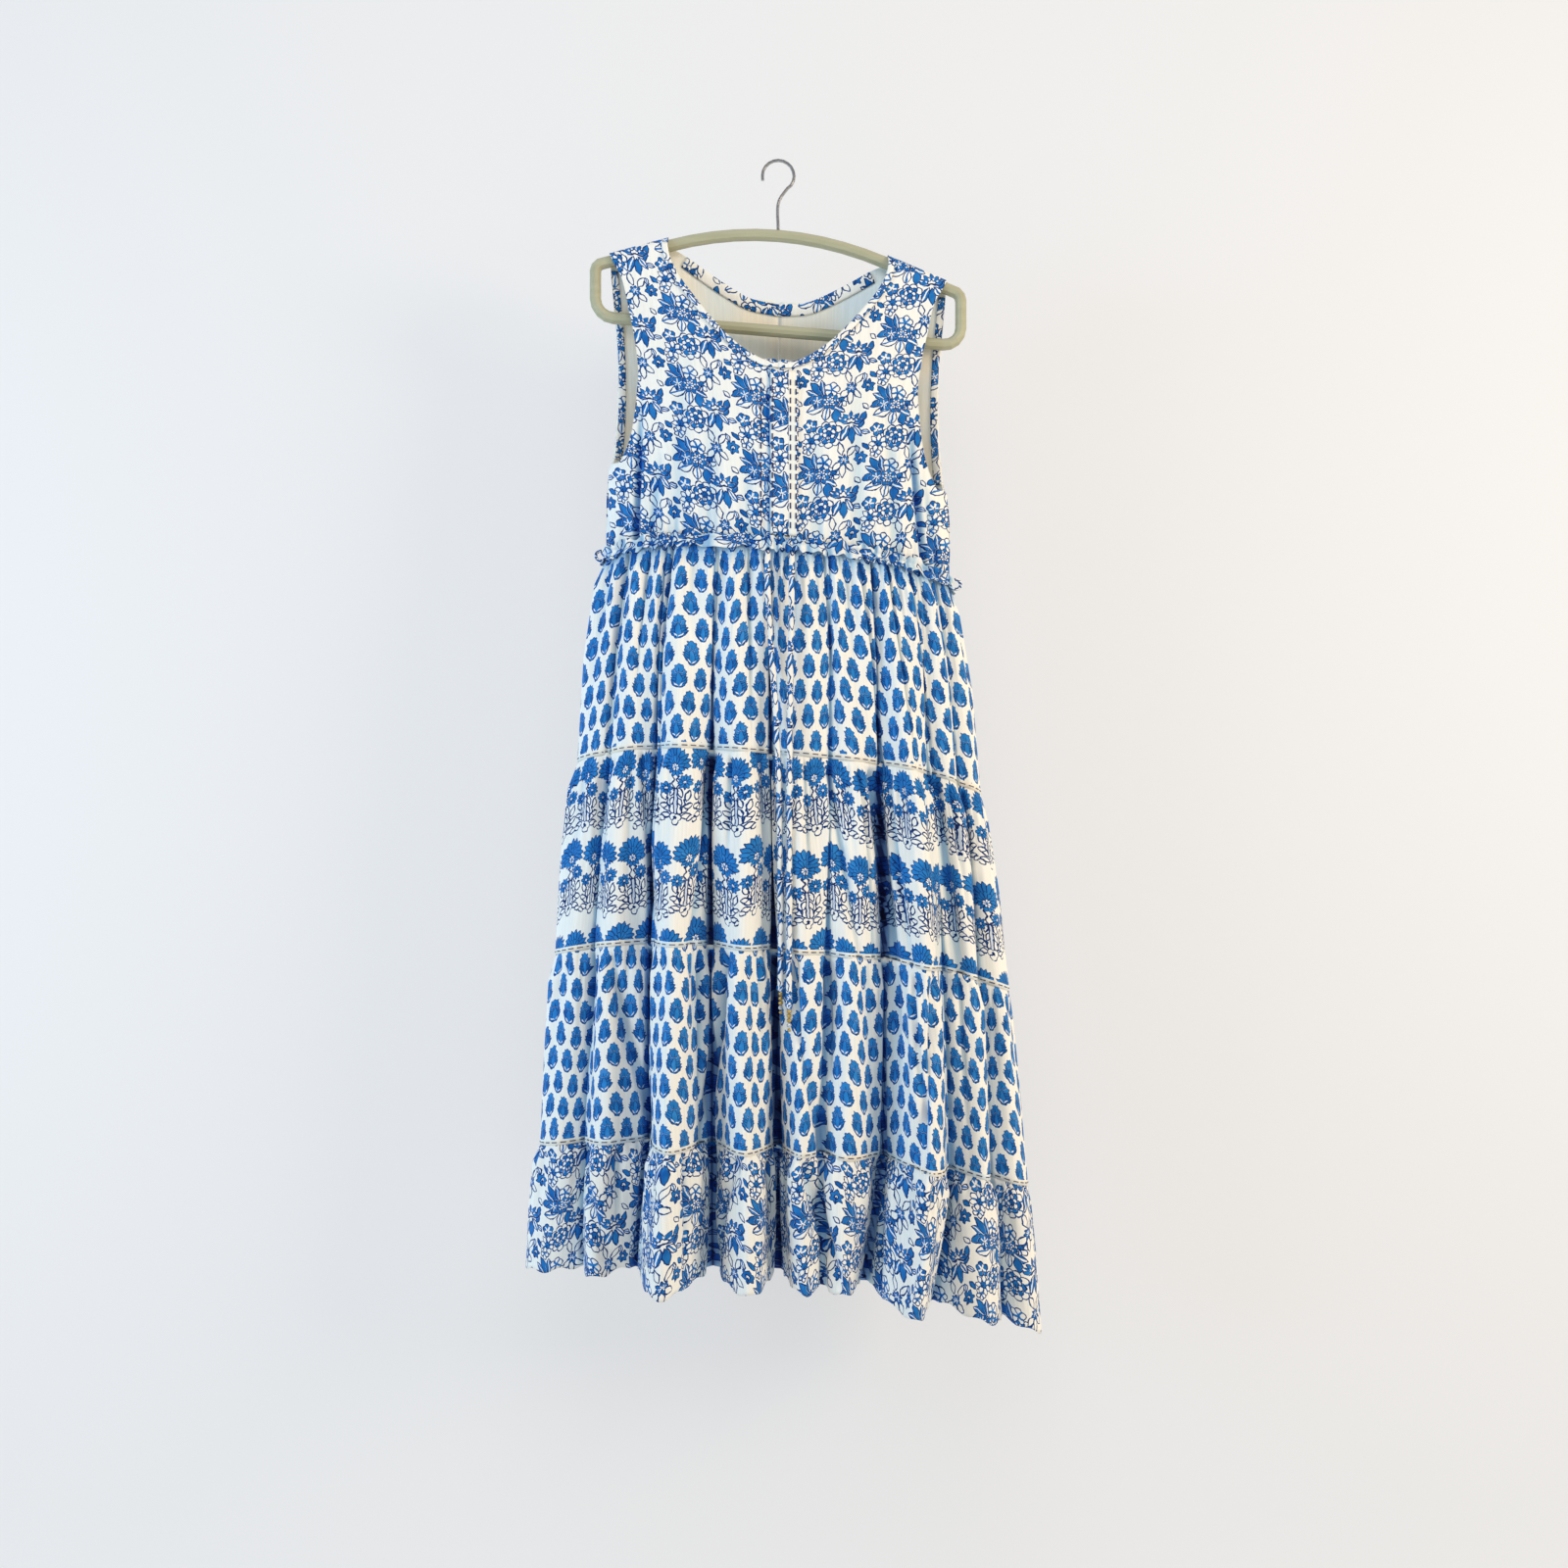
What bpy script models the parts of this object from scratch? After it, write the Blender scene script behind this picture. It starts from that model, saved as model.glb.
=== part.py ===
"""A sleeveless tiered maxi dress of printed cotton voile, hung on a plain tube hanger.

Metres, +Z up. +X is to the right and -Y towards the viewer when the dress's front is looked at.
The origin is the inner top of the hanger's hook, where a rail holds it.
The hanger hangs a little askew, so every seam of the dress runs down towards +X.
"""

import math
from collections import namedtuple

import bmesh
import bpy
import numpy as np

# Driving sizes
CLOTH = 0.0012
SEAM_GAP = 0.0003
TRIM_GAP = 0.0008
LEAN = 0.0805
SLOPE_STEP = 1e-6

# Hanger
TUBE_RADIUS = 0.0065
BAR_Z = -0.190
HANGER_REACH = 0.205
UPPER_BEND, LOWER_BEND = 0.010, 0.020
HOOK_WIRE = 0.0019
HOOK_INNER_RADIUS = 0.016
HOOK_STRAIGHT_TOP = -0.047
HOOK_FROM, HOOK_TO = -60, 195

# Shoulder line on the outside of the cloth
NECK_POINT_X, NECK_POINT_Z = 0.123, -0.095
TIP_X, TIP_Z = 0.189, -0.118
SHOULDER_SLOPE = (NECK_POINT_Z - TIP_Z) / (TIP_X - NECK_POINT_X)
SHOULDER_ROUND = 0.0095

# Bodice
HALF_WIDTH_AT_Z = [(-0.438, 0.1925), (-0.366, 0.1900), (-0.280, 0.2040), (-0.100, 0.2120)]
FRONT_FULLNESS = 0.058
BACK_FULLNESS = 0.052
FULL_BELOW_SHOULDER = 0.26
ROUND_FADES_FROM, ROUND_FADES_OVER = 0.06, 0.17
BODICE_COLUMNS = 7
DROOP_POWER = 3.5
DROOP_FADES_AT_Z = -0.366
SIDE_GAP_FADES_OVER = 0.2

# Trim
BINDING_WIDTH = 0.007
FACING_WIDTH = 0.013
ARMHOLE_BINDING_WIDTH = 0.008
PLACKET_LEFT, PLACKET_RIGHT = -0.009, 0.022
PLACKET_TOP_Z, PLACKET_FOOT_Z = -0.2465, -0.4285
FRILL_COLUMNS = 48
FRILL_WAVE = 0.0018

# Skirt
GATHER_DEPTH = 0.0042
COLUMNS_PER_GATHER = 4
HEM_FLARE_DROP = 0.12
CREST_BREADTH = 0.8
END_ANGLE = 0.004

# Ties
TIE_RADIUS = 0.0031
TIE_POINTS = 40
BEADS = 5
BEAD_RADIUS = 0.0026
BEAD_PITCH = 0.0050
BEAD_RINGS = (70, 25, -25, -70)

# A row of the bodice runs from its inner edge (centre seam or neckline) to its outer edge
# (side seam or armhole).
BodiceRow = namedtuple("BodiceRow", "inner_x inner_z outer_x outer_z")
FRONT_ROWS = [
    BodiceRow(0.0000, -0.4376, 0.1925, -0.4376),
    BodiceRow(0.0000, -0.3900, 0.1900, -0.3660),
    BodiceRow(0.0000, -0.3600, 0.1740, -0.3550),
    BodiceRow(0.0000, -0.3280, 0.1630, -0.3320),
    BodiceRow(0.0000, -0.2900, 0.1570, -0.3010),
    BodiceRow(0.0000, -0.2375, 0.1536, -0.2585),
    BodiceRow(0.0170, -0.2355, 0.1540, -0.2490),
    BodiceRow(0.0370, -0.2245, 0.1550, -0.2390),
    BodiceRow(0.0560, -0.2085, 0.1570, -0.2260),
    BodiceRow(0.0740, -0.1890, 0.1600, -0.2080),
    BodiceRow(0.0937, -0.1640, 0.1650, -0.1860),
    BodiceRow(0.1090, -0.1430, 0.1690, -0.1660),
    BodiceRow(0.1190, -0.1240, 0.1750, -0.1450),
    BodiceRow(0.1225, -0.1110, 0.1820, -0.1330),
    BodiceRow(0.1230, -0.1045, 0.1855, -0.1265),
    BodiceRow(0.1230, -0.0990, 0.1880, -0.1217),
    BodiceRow(0.1230, -0.0962, 0.1888, -0.1192),
    BodiceRow(0.1230, -0.0950, 0.1890, -0.1180),
]
BACK_ROWS = [
    BodiceRow(0.0000, -0.4376, 0.1925, -0.4376),
    BodiceRow(0.0000, -0.3900, 0.1900, -0.3660),
    BodiceRow(0.0000, -0.3400, 0.1865, -0.3450),
    BodiceRow(0.0000, -0.2950, 0.1830, -0.3050),
    BodiceRow(0.0000, -0.2450, 0.1815, -0.2580),
    BodiceRow(0.0000, -0.1950, 0.1826, -0.2100),
    BodiceRow(0.0000, -0.1530, 0.1855, -0.1720),
    BodiceRow(0.0300, -0.1495, 0.1865, -0.1600),
    BodiceRow(0.0500, -0.1415, 0.1870, -0.1520),
    BodiceRow(0.0760, -0.1280, 0.1880, -0.1440),
    BodiceRow(0.1030, -0.1120, 0.1885, -0.1350),
    BodiceRow(0.1180, -0.1045, 0.1888, -0.1265),
    BodiceRow(0.1225, -0.0990, 0.1889, -0.1218),
    BodiceRow(0.1230, -0.0962, 0.1890, -0.1192),
    BodiceRow(0.1230, -0.0950, 0.1890, -0.1180),
]
FRONT_NECK_FROM_ROW, BACK_NECK_FROM_ROW = 5, 6
ARMHOLE_FROM_ROW = 2
LINING_ROWS_LEFT_OUT = 3
BINDING_ROWS_LEFT_OUT = 3
INNER_TRIM_ROWS_LEFT_OUT = 4

# The skirt's oval at each horizontal seam, before its folds.
Level = namedtuple("Level", "z left right front back droop_left droop_right folds")
LEVELS = [
    Level(-0.438, 0.1925, 0.1925, 0.058, 0.052, 0.022, 0.022, 0.00),
    Level(-0.666, 0.2240, 0.2270, 0.072, 0.064, 0.026, 0.026, 0.30),
    Level(-0.878, 0.2480, 0.2580, 0.080, 0.072, 0.031, 0.031, 0.58),
    Level(-1.093, 0.2640, 0.2780, 0.086, 0.080, 0.028, 0.030, 0.82),
    Level(-1.236, 0.2790, 0.2920, 0.090, 0.086, 0.020, 0.048, 1.00),
]

# The large folds, from -X to +X: where each crest or valley lies at the top of the skirt, at the
# last tier's seam and at the hem, as a share of the half width, and how far it stands out there.
Fold = namedtuple("Fold", "top low hem out")
FRONT_FOLDS = [
    Fold(-1.000, -1.000, -1.000, 0.002),
    Fold(-0.930, -0.920, -0.930, 0.008),
    Fold(-0.840, -0.830, -0.790, -0.014),
    Fold(-0.740, -0.700, -0.700, 0.010),
    Fold(-0.630, -0.560, -0.580, -0.026),
    Fold(-0.490, -0.420, -0.420, 0.044),
    Fold(-0.350, -0.280, -0.265, -0.034),
    Fold(-0.200, -0.130, -0.107, 0.018),
    Fold(-0.053, 0.000, 0.003, -0.048),
    Fold(0.130, 0.085, 0.095, 0.004),
    Fold(0.290, 0.170, 0.170, -0.018),
    Fold(0.400, 0.260, 0.235, 0.002),
    Fold(0.530, 0.430, 0.335, -0.040),
    Fold(0.650, 0.560, 0.460, 0.042),
    Fold(0.750, 0.690, 0.590, -0.014),
    Fold(0.830, 0.780, 0.745, 0.020),
    Fold(0.900, 0.860, 0.875, -0.014),
    Fold(0.950, 0.930, 0.945, 0.008),
    Fold(1.000, 1.000, 1.000, 0.002),
]
BACK_FOLDS = [
    Fold(-1.000, -1.000, -1.000, 0.002),
    Fold(-0.900, -0.900, -0.900, 0.010),
    Fold(-0.800, -0.790, -0.790, -0.014),
    Fold(-0.680, -0.660, -0.640, 0.024),
    Fold(-0.550, -0.520, -0.490, -0.030),
    Fold(-0.420, -0.380, -0.340, 0.036),
    Fold(-0.280, -0.240, -0.190, -0.034),
    Fold(-0.120, -0.080, -0.040, 0.030),
    Fold(0.040, 0.070, 0.100, -0.036),
    Fold(0.190, 0.220, 0.250, 0.034),
    Fold(0.340, 0.370, 0.400, -0.030),
    Fold(0.480, 0.520, 0.550, 0.036),
    Fold(0.620, 0.660, 0.690, -0.022),
    Fold(0.760, 0.800, 0.820, 0.016),
    Fold(0.890, 0.910, 0.920, -0.008),
    Fold(1.000, 1.000, 1.000, 0.002),
]
LOW_LEVEL = 3

# Each tier's gathers round half the skirt and how far its cloth puffs out below its seam, and how
# much of both shows at each row of points.
Tier = namedtuple("Tier", "name gathers puff finish")
TIERS = [
    Tier("tier_1", 16, 0.008, "buti_print"),
    Tier("tier_2", 17, 0.005, "plant_print"),
    Tier("tier_3", 18, 0.002, "buti_print"),
    Tier("tier_4", 19, 0.003, "floral_print"),
]
GatherRow = namedtuple("GatherRow", "down depth puff")
GATHER_ROWS = [
    GatherRow(0.00, 0.0, 0.0),
    GatherRow(0.14, 1.0, 0.8),
    GatherRow(0.50, 0.5, 1.0),
    GatherRow(1.00, 0.1, 0.0),
]
GATHER_SHAPE = (0.0, 1.0, 0.0, -1.0)

# Sine waves that spread the gathers unevenly along the cloth.
Spread = namedtuple("Spread", "waves size")
SPREADS = [
    Spread(3, 0.006),
    Spread(7, 0.003),
]

# The frill over the drawstring seam: each row's height over the seam and its distance off the cloth.
FrillRow = namedtuple("FrillRow", "up off wave")
FRILL_ROWS = [
    FrillRow(-0.0095, 0.0076, 0.4),
    FrillRow(-0.0050, 0.0050, 0.2),
    FrillRow(0.0000, 0.0018, 0.0),
    FrillRow(0.0085, 0.0050, 1.0),
]

# The ties' routes, from under the frill down in front of the skirt's middle valley.
LEFT_TIE_ROUTE = [
    (-0.0110, -0.0640, -0.4476),
    (-0.0110, -0.0735, -0.4800),
    (-0.0080, -0.0760, -0.5400),
    (-0.0030, -0.0775, -0.6100),
    (0.0010, -0.0775, -0.6900),
    (0.0025, -0.0775, -0.7900),
    (0.0030, -0.0775, -0.9190),
]
RIGHT_TIE_ROUTE = [
    (0.0150, -0.0640, -0.4501),
    (0.0150, -0.0745, -0.4800),
    (0.0140, -0.0775, -0.5400),
    (0.0130, -0.0795, -0.6100),
    (0.0125, -0.0820, -0.7200),
    (0.0122, -0.0825, -0.8300),
    (0.0120, -0.0825, -0.9370),
]

# Finishes: each printed cloth has the mean colour of its print. Colours are linear.
Finish = namedtuple("Finish", "colour roughness metallic")
FINISHES = {
    "floral_print": Finish((0.41, 0.48, 0.57), 0.85, 0.0),
    "buti_print": Finish((0.36, 0.45, 0.53), 0.85, 0.0),
    "plant_print": Finish((0.34, 0.43, 0.53), 0.85, 0.0),
    "plain_lining": Finish((0.64, 0.61, 0.52), 0.90, 0.0),
    "painted_tube": Finish((0.32, 0.31, 0.21), 0.45, 0.0),
    "hook_wire": Finish((0.55, 0.55, 0.56), 0.30, 1.0),
    "gold_bead": Finish((0.70, 0.58, 0.32), 0.25, 1.0),
}


def clear_scene():
    for thing in list(bpy.data.objects):
        bpy.data.objects.remove(thing, do_unlink=True)
    for group in list(bpy.data.collections):
        bpy.data.collections.remove(group)


def make_finishes():
    for name, finish in FINISHES.items():
        material = bpy.data.materials.new(name)
        material.use_nodes = True
        shader = material.node_tree.nodes["Principled BSDF"]
        shader.inputs["Base Color"].default_value = (*finish.colour, 1.0)
        shader.inputs["Roughness"].default_value = finish.roughness
        shader.inputs["Metallic"].default_value = finish.metallic


def add_object(name, data, finish, dress):
    data.materials.append(bpy.data.materials[finish])
    thing = bpy.data.objects.new(name, data)
    dress.objects.link(thing)
    return thing


def smooth_step(share):
    share = np.clip(share, 0.0, 1.0)
    return share * share * (3.0 - 2.0 * share)


def unit(vectors):
    return vectors / np.linalg.norm(vectors, axis=-1, keepdims=True)


def leaned(points):
    """The points as they hang: everything towards +X lies lower."""
    points = points.copy()
    points[..., 2] -= LEAN * points[..., 0]
    return points


# Cloth walls

def wall(name, outer, inner, finish, dress):
    """A closed wall of cloth between two grids of points, rows by columns."""
    rows, columns = outer.shape[0] - 1, outer.shape[1] - 1
    outer, inner = leaned(outer), leaned(inner)
    cloth = bmesh.new()
    bmesh.ops.create_grid(cloth, x_segments=columns, y_segments=rows, size=0.5)

    def place(vertex):
        return round((vertex.co.y + 0.5) * rows), round((vertex.co.x + 0.5) * columns)

    outside = {vertex: place(vertex) for vertex in cloth.verts}
    made = bmesh.ops.extrude_face_region(cloth, geom=cloth.faces[:], use_keep_orig=True)
    inside = {v: place(v) for v in made["geom"] if isinstance(v, bmesh.types.BMVert)}
    for vertex, (row, column) in outside.items():
        vertex.co = outer[row, column]
    for vertex, (row, column) in inside.items():
        vertex.co = inner[row, column]
    bmesh.ops.recalc_face_normals(cloth, faces=cloth.faces[:])
    mesh = bpy.data.meshes.new(name)
    cloth.to_mesh(mesh)
    cloth.free()
    mesh.shade_smooth()
    mesh.set_sharp_from_angle(angle=math.radians(50))
    return add_object(name, mesh, finish, dress)


# Shoulders and bodice

def shoulder_z(x):
    """Height of the shoulder line on the outside of the cloth, and of the rounded run between."""
    inside = NECK_POINT_X - np.abs(x)
    rise = inside * SHOULDER_SLOPE
    rounded = rise * (1.0 - inside / (2.0 * NECK_POINT_X))
    return NECK_POINT_Z + np.where(inside > 0.0, rounded, rise)


def oval(share):
    """How much of the depth is left at this share of the half width."""
    return np.sqrt(1.0 - np.clip(np.abs(share), 0.0, 1.0) ** 2)


def bodice_depth(x, z, fullness):
    """How far the outside of the cloth stands from the hanger's plane at x, z."""
    below = np.maximum(shoulder_z(x) - z, 0.0)
    over_tube = np.minimum(below, SHOULDER_ROUND)
    rounded = np.sqrt(SHOULDER_ROUND**2 - (SHOULDER_ROUND - over_tube) ** 2)
    rounded *= 1.0 - smooth_step((below - ROUND_FADES_FROM) / ROUND_FADES_OVER)
    hung = fullness * smooth_step(below / FULL_BELOW_SHOULDER)
    half_width = np.interp(z, *zip(*HALF_WIDTH_AT_Z))
    return rounded + hung * oval(x / half_width)


def bodice_points(x, z, side, inward):
    """Points of the bodice's cloth, side -1 for the front and +1 for the back, moved inward."""
    fullness = FRONT_FULLNESS if side < 0 else BACK_FULLNESS
    depth = bodice_depth(x, z, fullness)
    towards_middle = -np.where(x < 0, -1.0, 1.0) * SLOPE_STEP
    slope_x = (bodice_depth(x + towards_middle, z, fullness) - depth) / towards_middle
    slope_z = (bodice_depth(x, z - SLOPE_STEP, fullness) - depth) / -SLOPE_STEP
    normal = unit(np.stack([-slope_x, np.full_like(x, side), -slope_z], axis=-1))
    points = np.stack([x, side * depth, z], axis=-1)
    return points - inward * normal


def bodice_droop(x, z):
    """The bodice's lower edge hangs lower towards the side seams, as the skirt's does."""
    fade = np.clip((DROOP_FADES_AT_Z - z) / (DROOP_FADES_AT_Z - LEVELS[0].z), 0.0, 1.0)
    return LEVELS[0].droop_left * np.abs(x / LEVELS[0].left) ** DROOP_POWER * fade


def bodice_grid(rows, hand):
    """x and z of a bodice half, hand -1 for -X and +1 for +X, closer together at its outer edge."""
    table = np.array(rows)
    across = np.sin(np.linspace(0.0, math.pi / 2, BODICE_COLUMNS + 1))
    x = table[:, :1] + (table[:, 2:3] - table[:, :1]) * across
    z = table[:, 1:2] + (table[:, 3:4] - table[:, 1:2]) * across
    x[:, 0] += SEAM_GAP / 2 * (table[:, 0] == 0.0)
    return hand * x, z - bodice_droop(x, z)


def bodice_half(name, rows, hand, side, inward, finish, dress):
    x, z = bodice_grid(rows, hand)
    outer = bodice_points(x, z, side, inward)
    inner = bodice_points(x, z, side, inward + CLOTH)
    below_tip = TIP_Z - z[:, -1]
    for points in (outer, inner):
        points[-1, :, 1] += side * SEAM_GAP / 2 * (inward == 0.0)
        points[:, -1, 1] += side * SEAM_GAP * smooth_step(below_tip / SIDE_GAP_FADES_OVER)
    wall(name, outer, inner, finish, dress)


def edge_strip(name, edge, into, width, hand, side, inward, dress):
    """Printed trim along an edge of the bodice, its width measured into the panel."""
    across = np.linspace(0.0, width, 3)
    x = edge[:, :1] + into[:, :1] * across
    z = edge[:, 1:] + into[:, 1:] * across
    z = z - bodice_droop(x, z)
    outer = bodice_points(hand * x, z, side, inward)
    inner = bodice_points(hand * x, z, side, inward + CLOTH)
    wall(name, outer, inner, "floral_print", dress)


def across_edge(edge, turn):
    """Unit vectors across an edge in the x, z plane."""
    along = unit(np.gradient(edge, axis=0))
    return np.stack([-along[:, 1], along[:, 0]], axis=-1) * turn


def neck_across(neck):
    """Unit vectors from the neckline into its panel, straight down at the centre seam."""
    across = across_edge(neck, -1)
    across[0] = (0.0, -1.0)
    return across


def neck_edge(rows, from_row, rows_left_out):
    edge = np.array(rows)[from_row : len(rows) - rows_left_out, :2]
    edge[0, 0] += SEAM_GAP / 2
    return edge


def armhole_edge(rows):
    return np.array(rows)[ARMHOLE_FROM_ROW : len(rows) - INNER_TRIM_ROWS_LEFT_OUT, 2:]


def build_bodice(dress):
    """Front and back halves, the back's lining, and the printed trim along every edge."""
    beside = CLOTH + SEAM_GAP
    trim = CLOTH + TRIM_GAP
    for word, hand in (("left", -1), ("right", 1)):
        bodice_half(f"bodice_front_{word}", FRONT_ROWS, hand, -1, 0.0, "floral_print", dress)
        bodice_half(f"bodice_back_{word}", BACK_ROWS, hand, 1, 0.0, "floral_print", dress)
        lining_rows = BACK_ROWS[: len(BACK_ROWS) - LINING_ROWS_LEFT_OUT]
        bodice_half(f"lining_back_{word}", lining_rows, hand, 1, beside, "plain_lining", dress)

        neck = neck_edge(FRONT_ROWS, FRONT_NECK_FROM_ROW, BINDING_ROWS_LEFT_OUT)
        edge_strip(f"neck_binding_{word}", neck, neck_across(neck), BINDING_WIDTH,
                   hand, -1, -trim, dress)
        neck = neck_edge(BACK_ROWS, BACK_NECK_FROM_ROW, INNER_TRIM_ROWS_LEFT_OUT)
        edge_strip(f"neck_facing_{word}", neck, neck_across(neck), FACING_WIDTH,
                   hand, 1, beside + trim, dress)

        hole = armhole_edge(FRONT_ROWS)
        edge_strip(f"armhole_binding_front_{word}", hole, across_edge(hole, 1),
                   ARMHOLE_BINDING_WIDTH, hand, -1, trim, dress)
        hole = armhole_edge(BACK_ROWS)
        edge_strip(f"armhole_binding_back_{word}", hole, across_edge(hole, 1),
                   ARMHOLE_BINDING_WIDTH, hand, 1, beside + trim, dress)


def build_placket(dress):
    """The strip over the centre front, from the V down to the frill."""
    x, z = np.meshgrid(np.linspace(PLACKET_LEFT, PLACKET_RIGHT, 4),
                       np.linspace(PLACKET_FOOT_Z, PLACKET_TOP_Z, 7))
    off = -(CLOTH + TRIM_GAP)
    outer = bodice_points(x, z, -1, off)
    inner = bodice_points(x, z, -1, off + CLOTH)
    wall("placket", outer, inner, "floral_print", dress)


# Skirt

def between_levels(level, column):
    """A column of LEVELS at a height given in levels, such as 1.5 for the middle of tier 2."""
    table = [getattr(row, column) for row in LEVELS]
    return np.interp(level, range(len(LEVELS)), table)


def fold_depth(angle, level, folds):
    """How far the large folds stand out of the oval, with broad crests and narrow valleys."""
    top, low, hem, out = np.array(folds).T
    stops = [0, LOW_LEVEL, len(LEVELS) - 1]
    at = np.arccos(-np.array([np.interp(level, stops, row) for row in zip(top, low, hem)]))
    first = np.clip(np.searchsorted(at, angle, side="right") - 1, 0, len(folds) - 2)
    reach = np.clip((angle - at[first]) / (at[first + 1] - at[first]), 0.0, 1.0)
    valley = np.minimum(out[first], out[first + 1])
    crest = np.maximum(out[first], out[first + 1])
    reach = np.where(out[first] < out[first + 1], reach, 1.0 - reach)
    share = ((1.0 - np.cos(math.pi * reach)) / 2.0) ** CREST_BREADTH
    return (valley + (crest - valley) * share) * between_levels(level, "folds")


def base_oval(angle, level, side):
    """x, y of the skirt's oval before its folds."""
    share = -np.cos(angle)
    half_width = np.where(share < 0, between_levels(level, "left"),
                          between_levels(level, "right"))
    depth = between_levels(level, "front" if side < 0 else "back")
    return np.stack([share * half_width, side * depth * np.sin(angle)], axis=-1)


def outward(path_of, angle, side):
    """Unit vectors that point out of the skirt, from its run round the oval."""
    behind = np.maximum(angle - SLOPE_STEP, 0.0)
    ahead = np.minimum(angle + SLOPE_STEP, math.pi)
    along = path_of(ahead) - path_of(behind)
    return unit(np.stack([-along[:, 1], along[:, 0]], axis=-1)) * side


def run_normal(run, side):
    """Unit vectors out of a run of points that goes from one side seam to the other."""
    along = np.gradient(run, axis=0)
    normal = unit(np.stack([-along[:, 1], along[:, 0]], axis=-1)) * side
    normal[0], normal[-1] = (-1.0, 0.0), (1.0, 0.0)
    return normal


def skirt_run(angle, level, side):
    """x, y of the folded cloth at one height."""
    folds = FRONT_FOLDS if side < 0 else BACK_FOLDS
    normal = outward(lambda a: base_oval(a, level, side), angle, side)
    return base_oval(angle, level, side) + normal * fold_depth(angle, level, folds)[:, None]


def skirt_height(angle, level, side):
    """z of the cloth at one height: its seams droop at the sides, and its crests hang lower."""
    folds = FRONT_FOLDS if side < 0 else BACK_FOLDS
    most = np.where(angle < math.pi / 2, between_levels(level, "droop_left"),
                    between_levels(level, "droop_right"))
    droop = most * np.abs(np.cos(angle)) ** DROOP_POWER
    flare = HEM_FLARE_DROP * max(level - LOW_LEVEL, 0.0) * fold_depth(angle, level, folds)
    return between_levels(level, "z") - droop - flare


def cloth_angles(level, side, columns):
    """Angles of columns of cloth that share the folded run at one height nearly evenly."""
    fine = np.linspace(END_ANGLE, math.pi - END_ANGLE, 801)
    steps = np.linalg.norm(np.diff(skirt_run(fine, level, side), axis=0), axis=1)
    along = np.concatenate([[0.0], np.cumsum(steps)])
    share = np.linspace(0.0, 1.0, columns + 1)
    uneven = sum(s.size * np.sin(2.0 * math.pi * s.waves * share) for s in SPREADS)
    return np.interp((share + uneven) * along[-1], along, fine)


def tier_panel(tier, number, side, dress):
    """Half of a tier, with its gathers deepest just below its seam."""
    columns = tier.gathers * COLUMNS_PER_GATHER
    waves = np.resize(GATHER_SHAPE, columns + 1) * GATHER_DEPTH
    outer, inner = [], []
    for row in GATHER_ROWS:
        level = number + row.down
        angles = cloth_angles(level, side, columns)
        folded = skirt_run(angles, level, side)
        out = waves * row.depth + tier.puff * row.puff
        run = folded + out[:, None] * run_normal(folded, side)
        z = skirt_height(angles, level, side) - SEAM_GAP * (row.down == 0.0)
        outer.append(np.column_stack([run, z]))
        inner.append(np.column_stack([run - CLOTH * run_normal(run, side), z]))
    word = "front" if side < 0 else "back"
    wall(f"{tier.name}_{word}", np.array(outer), np.array(inner), tier.finish, dress)


def build_skirt(dress):
    """Four gathered tiers, each in a front and a back half."""
    for number, tier in enumerate(TIERS):
        for side in (-1, 1):
            tier_panel(tier, number, side, dress)


def build_frill(dress):
    """The narrow ruffled band over the seam between bodice and skirt."""
    waves = np.resize(GATHER_SHAPE, FRILL_COLUMNS + 1)
    for word, side in (("front", -1), ("back", 1)):
        angles = cloth_angles(0, side, FRILL_COLUMNS)
        run = base_oval(angles, 0, side)
        normal = outward(lambda a: base_oval(a, 0, side), angles, side)
        z = skirt_height(angles, 0, side)
        outer, inner = [], []
        for row in FRILL_ROWS:
            off = row.off + FRILL_WAVE * waves * row.wave
            outer.append(np.column_stack([run + normal * off[:, None], z + row.up]))
            off = off - CLOTH
            inner.append(np.column_stack([run + normal * off[:, None], z + row.up]))
        wall(f"waist_frill_{word}", np.array(outer), np.array(inner), "floral_print", dress)


# Tubes

def smooth_route(points, count):
    """Evenly spaced points on a smooth curve through the route's own points."""
    points = np.array(points)
    ends = np.vstack([2 * points[0] - points[1], points, 2 * points[-1] - points[-2]])
    fine = []
    for a, b, c, d in zip(ends[:-3], ends[1:-2], ends[2:-1], ends[3:]):
        for t in np.linspace(0.0, 1.0, 20, endpoint=False):
            fine.append(0.5 * (2 * b + (c - a) * t + (2 * a - 5 * b + 4 * c - d) * t**2
                               + (3 * b - a - 3 * c + d) * t**3))
    fine.append(points[-1])
    fine = np.array(fine)
    along = np.concatenate([[0.0], np.cumsum(np.linalg.norm(np.diff(fine, axis=0), axis=1))])
    even = np.linspace(0.0, along[-1], count)
    return np.stack([np.interp(even, along, fine[:, axis]) for axis in range(3)], axis=-1)


def tube(name, points, radius, resolution, closed, finish, dress):
    curve = bpy.data.curves.new(name, "CURVE")
    curve.dimensions = "3D"
    curve.bevel_depth = radius
    curve.bevel_resolution = resolution
    curve.use_fill_caps = True
    line = curve.splines.new("POLY")
    line.points.add(len(points) - 1)
    for spot, point in zip(line.points, points):
        spot.co = (*point, 1.0)
    line.use_cyclic_u = closed
    return add_object(name, curve, finish, dress)


def arc(centre_x, centre_z, radius, start, end, count):
    """Points on an arc in the hanger's plane, angles in degrees from +X towards +Z."""
    angles = np.radians(np.linspace(start, end, count))
    return np.column_stack([centre_x + radius * np.cos(angles), np.zeros(count),
                            centre_z + radius * np.sin(angles)])


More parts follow.
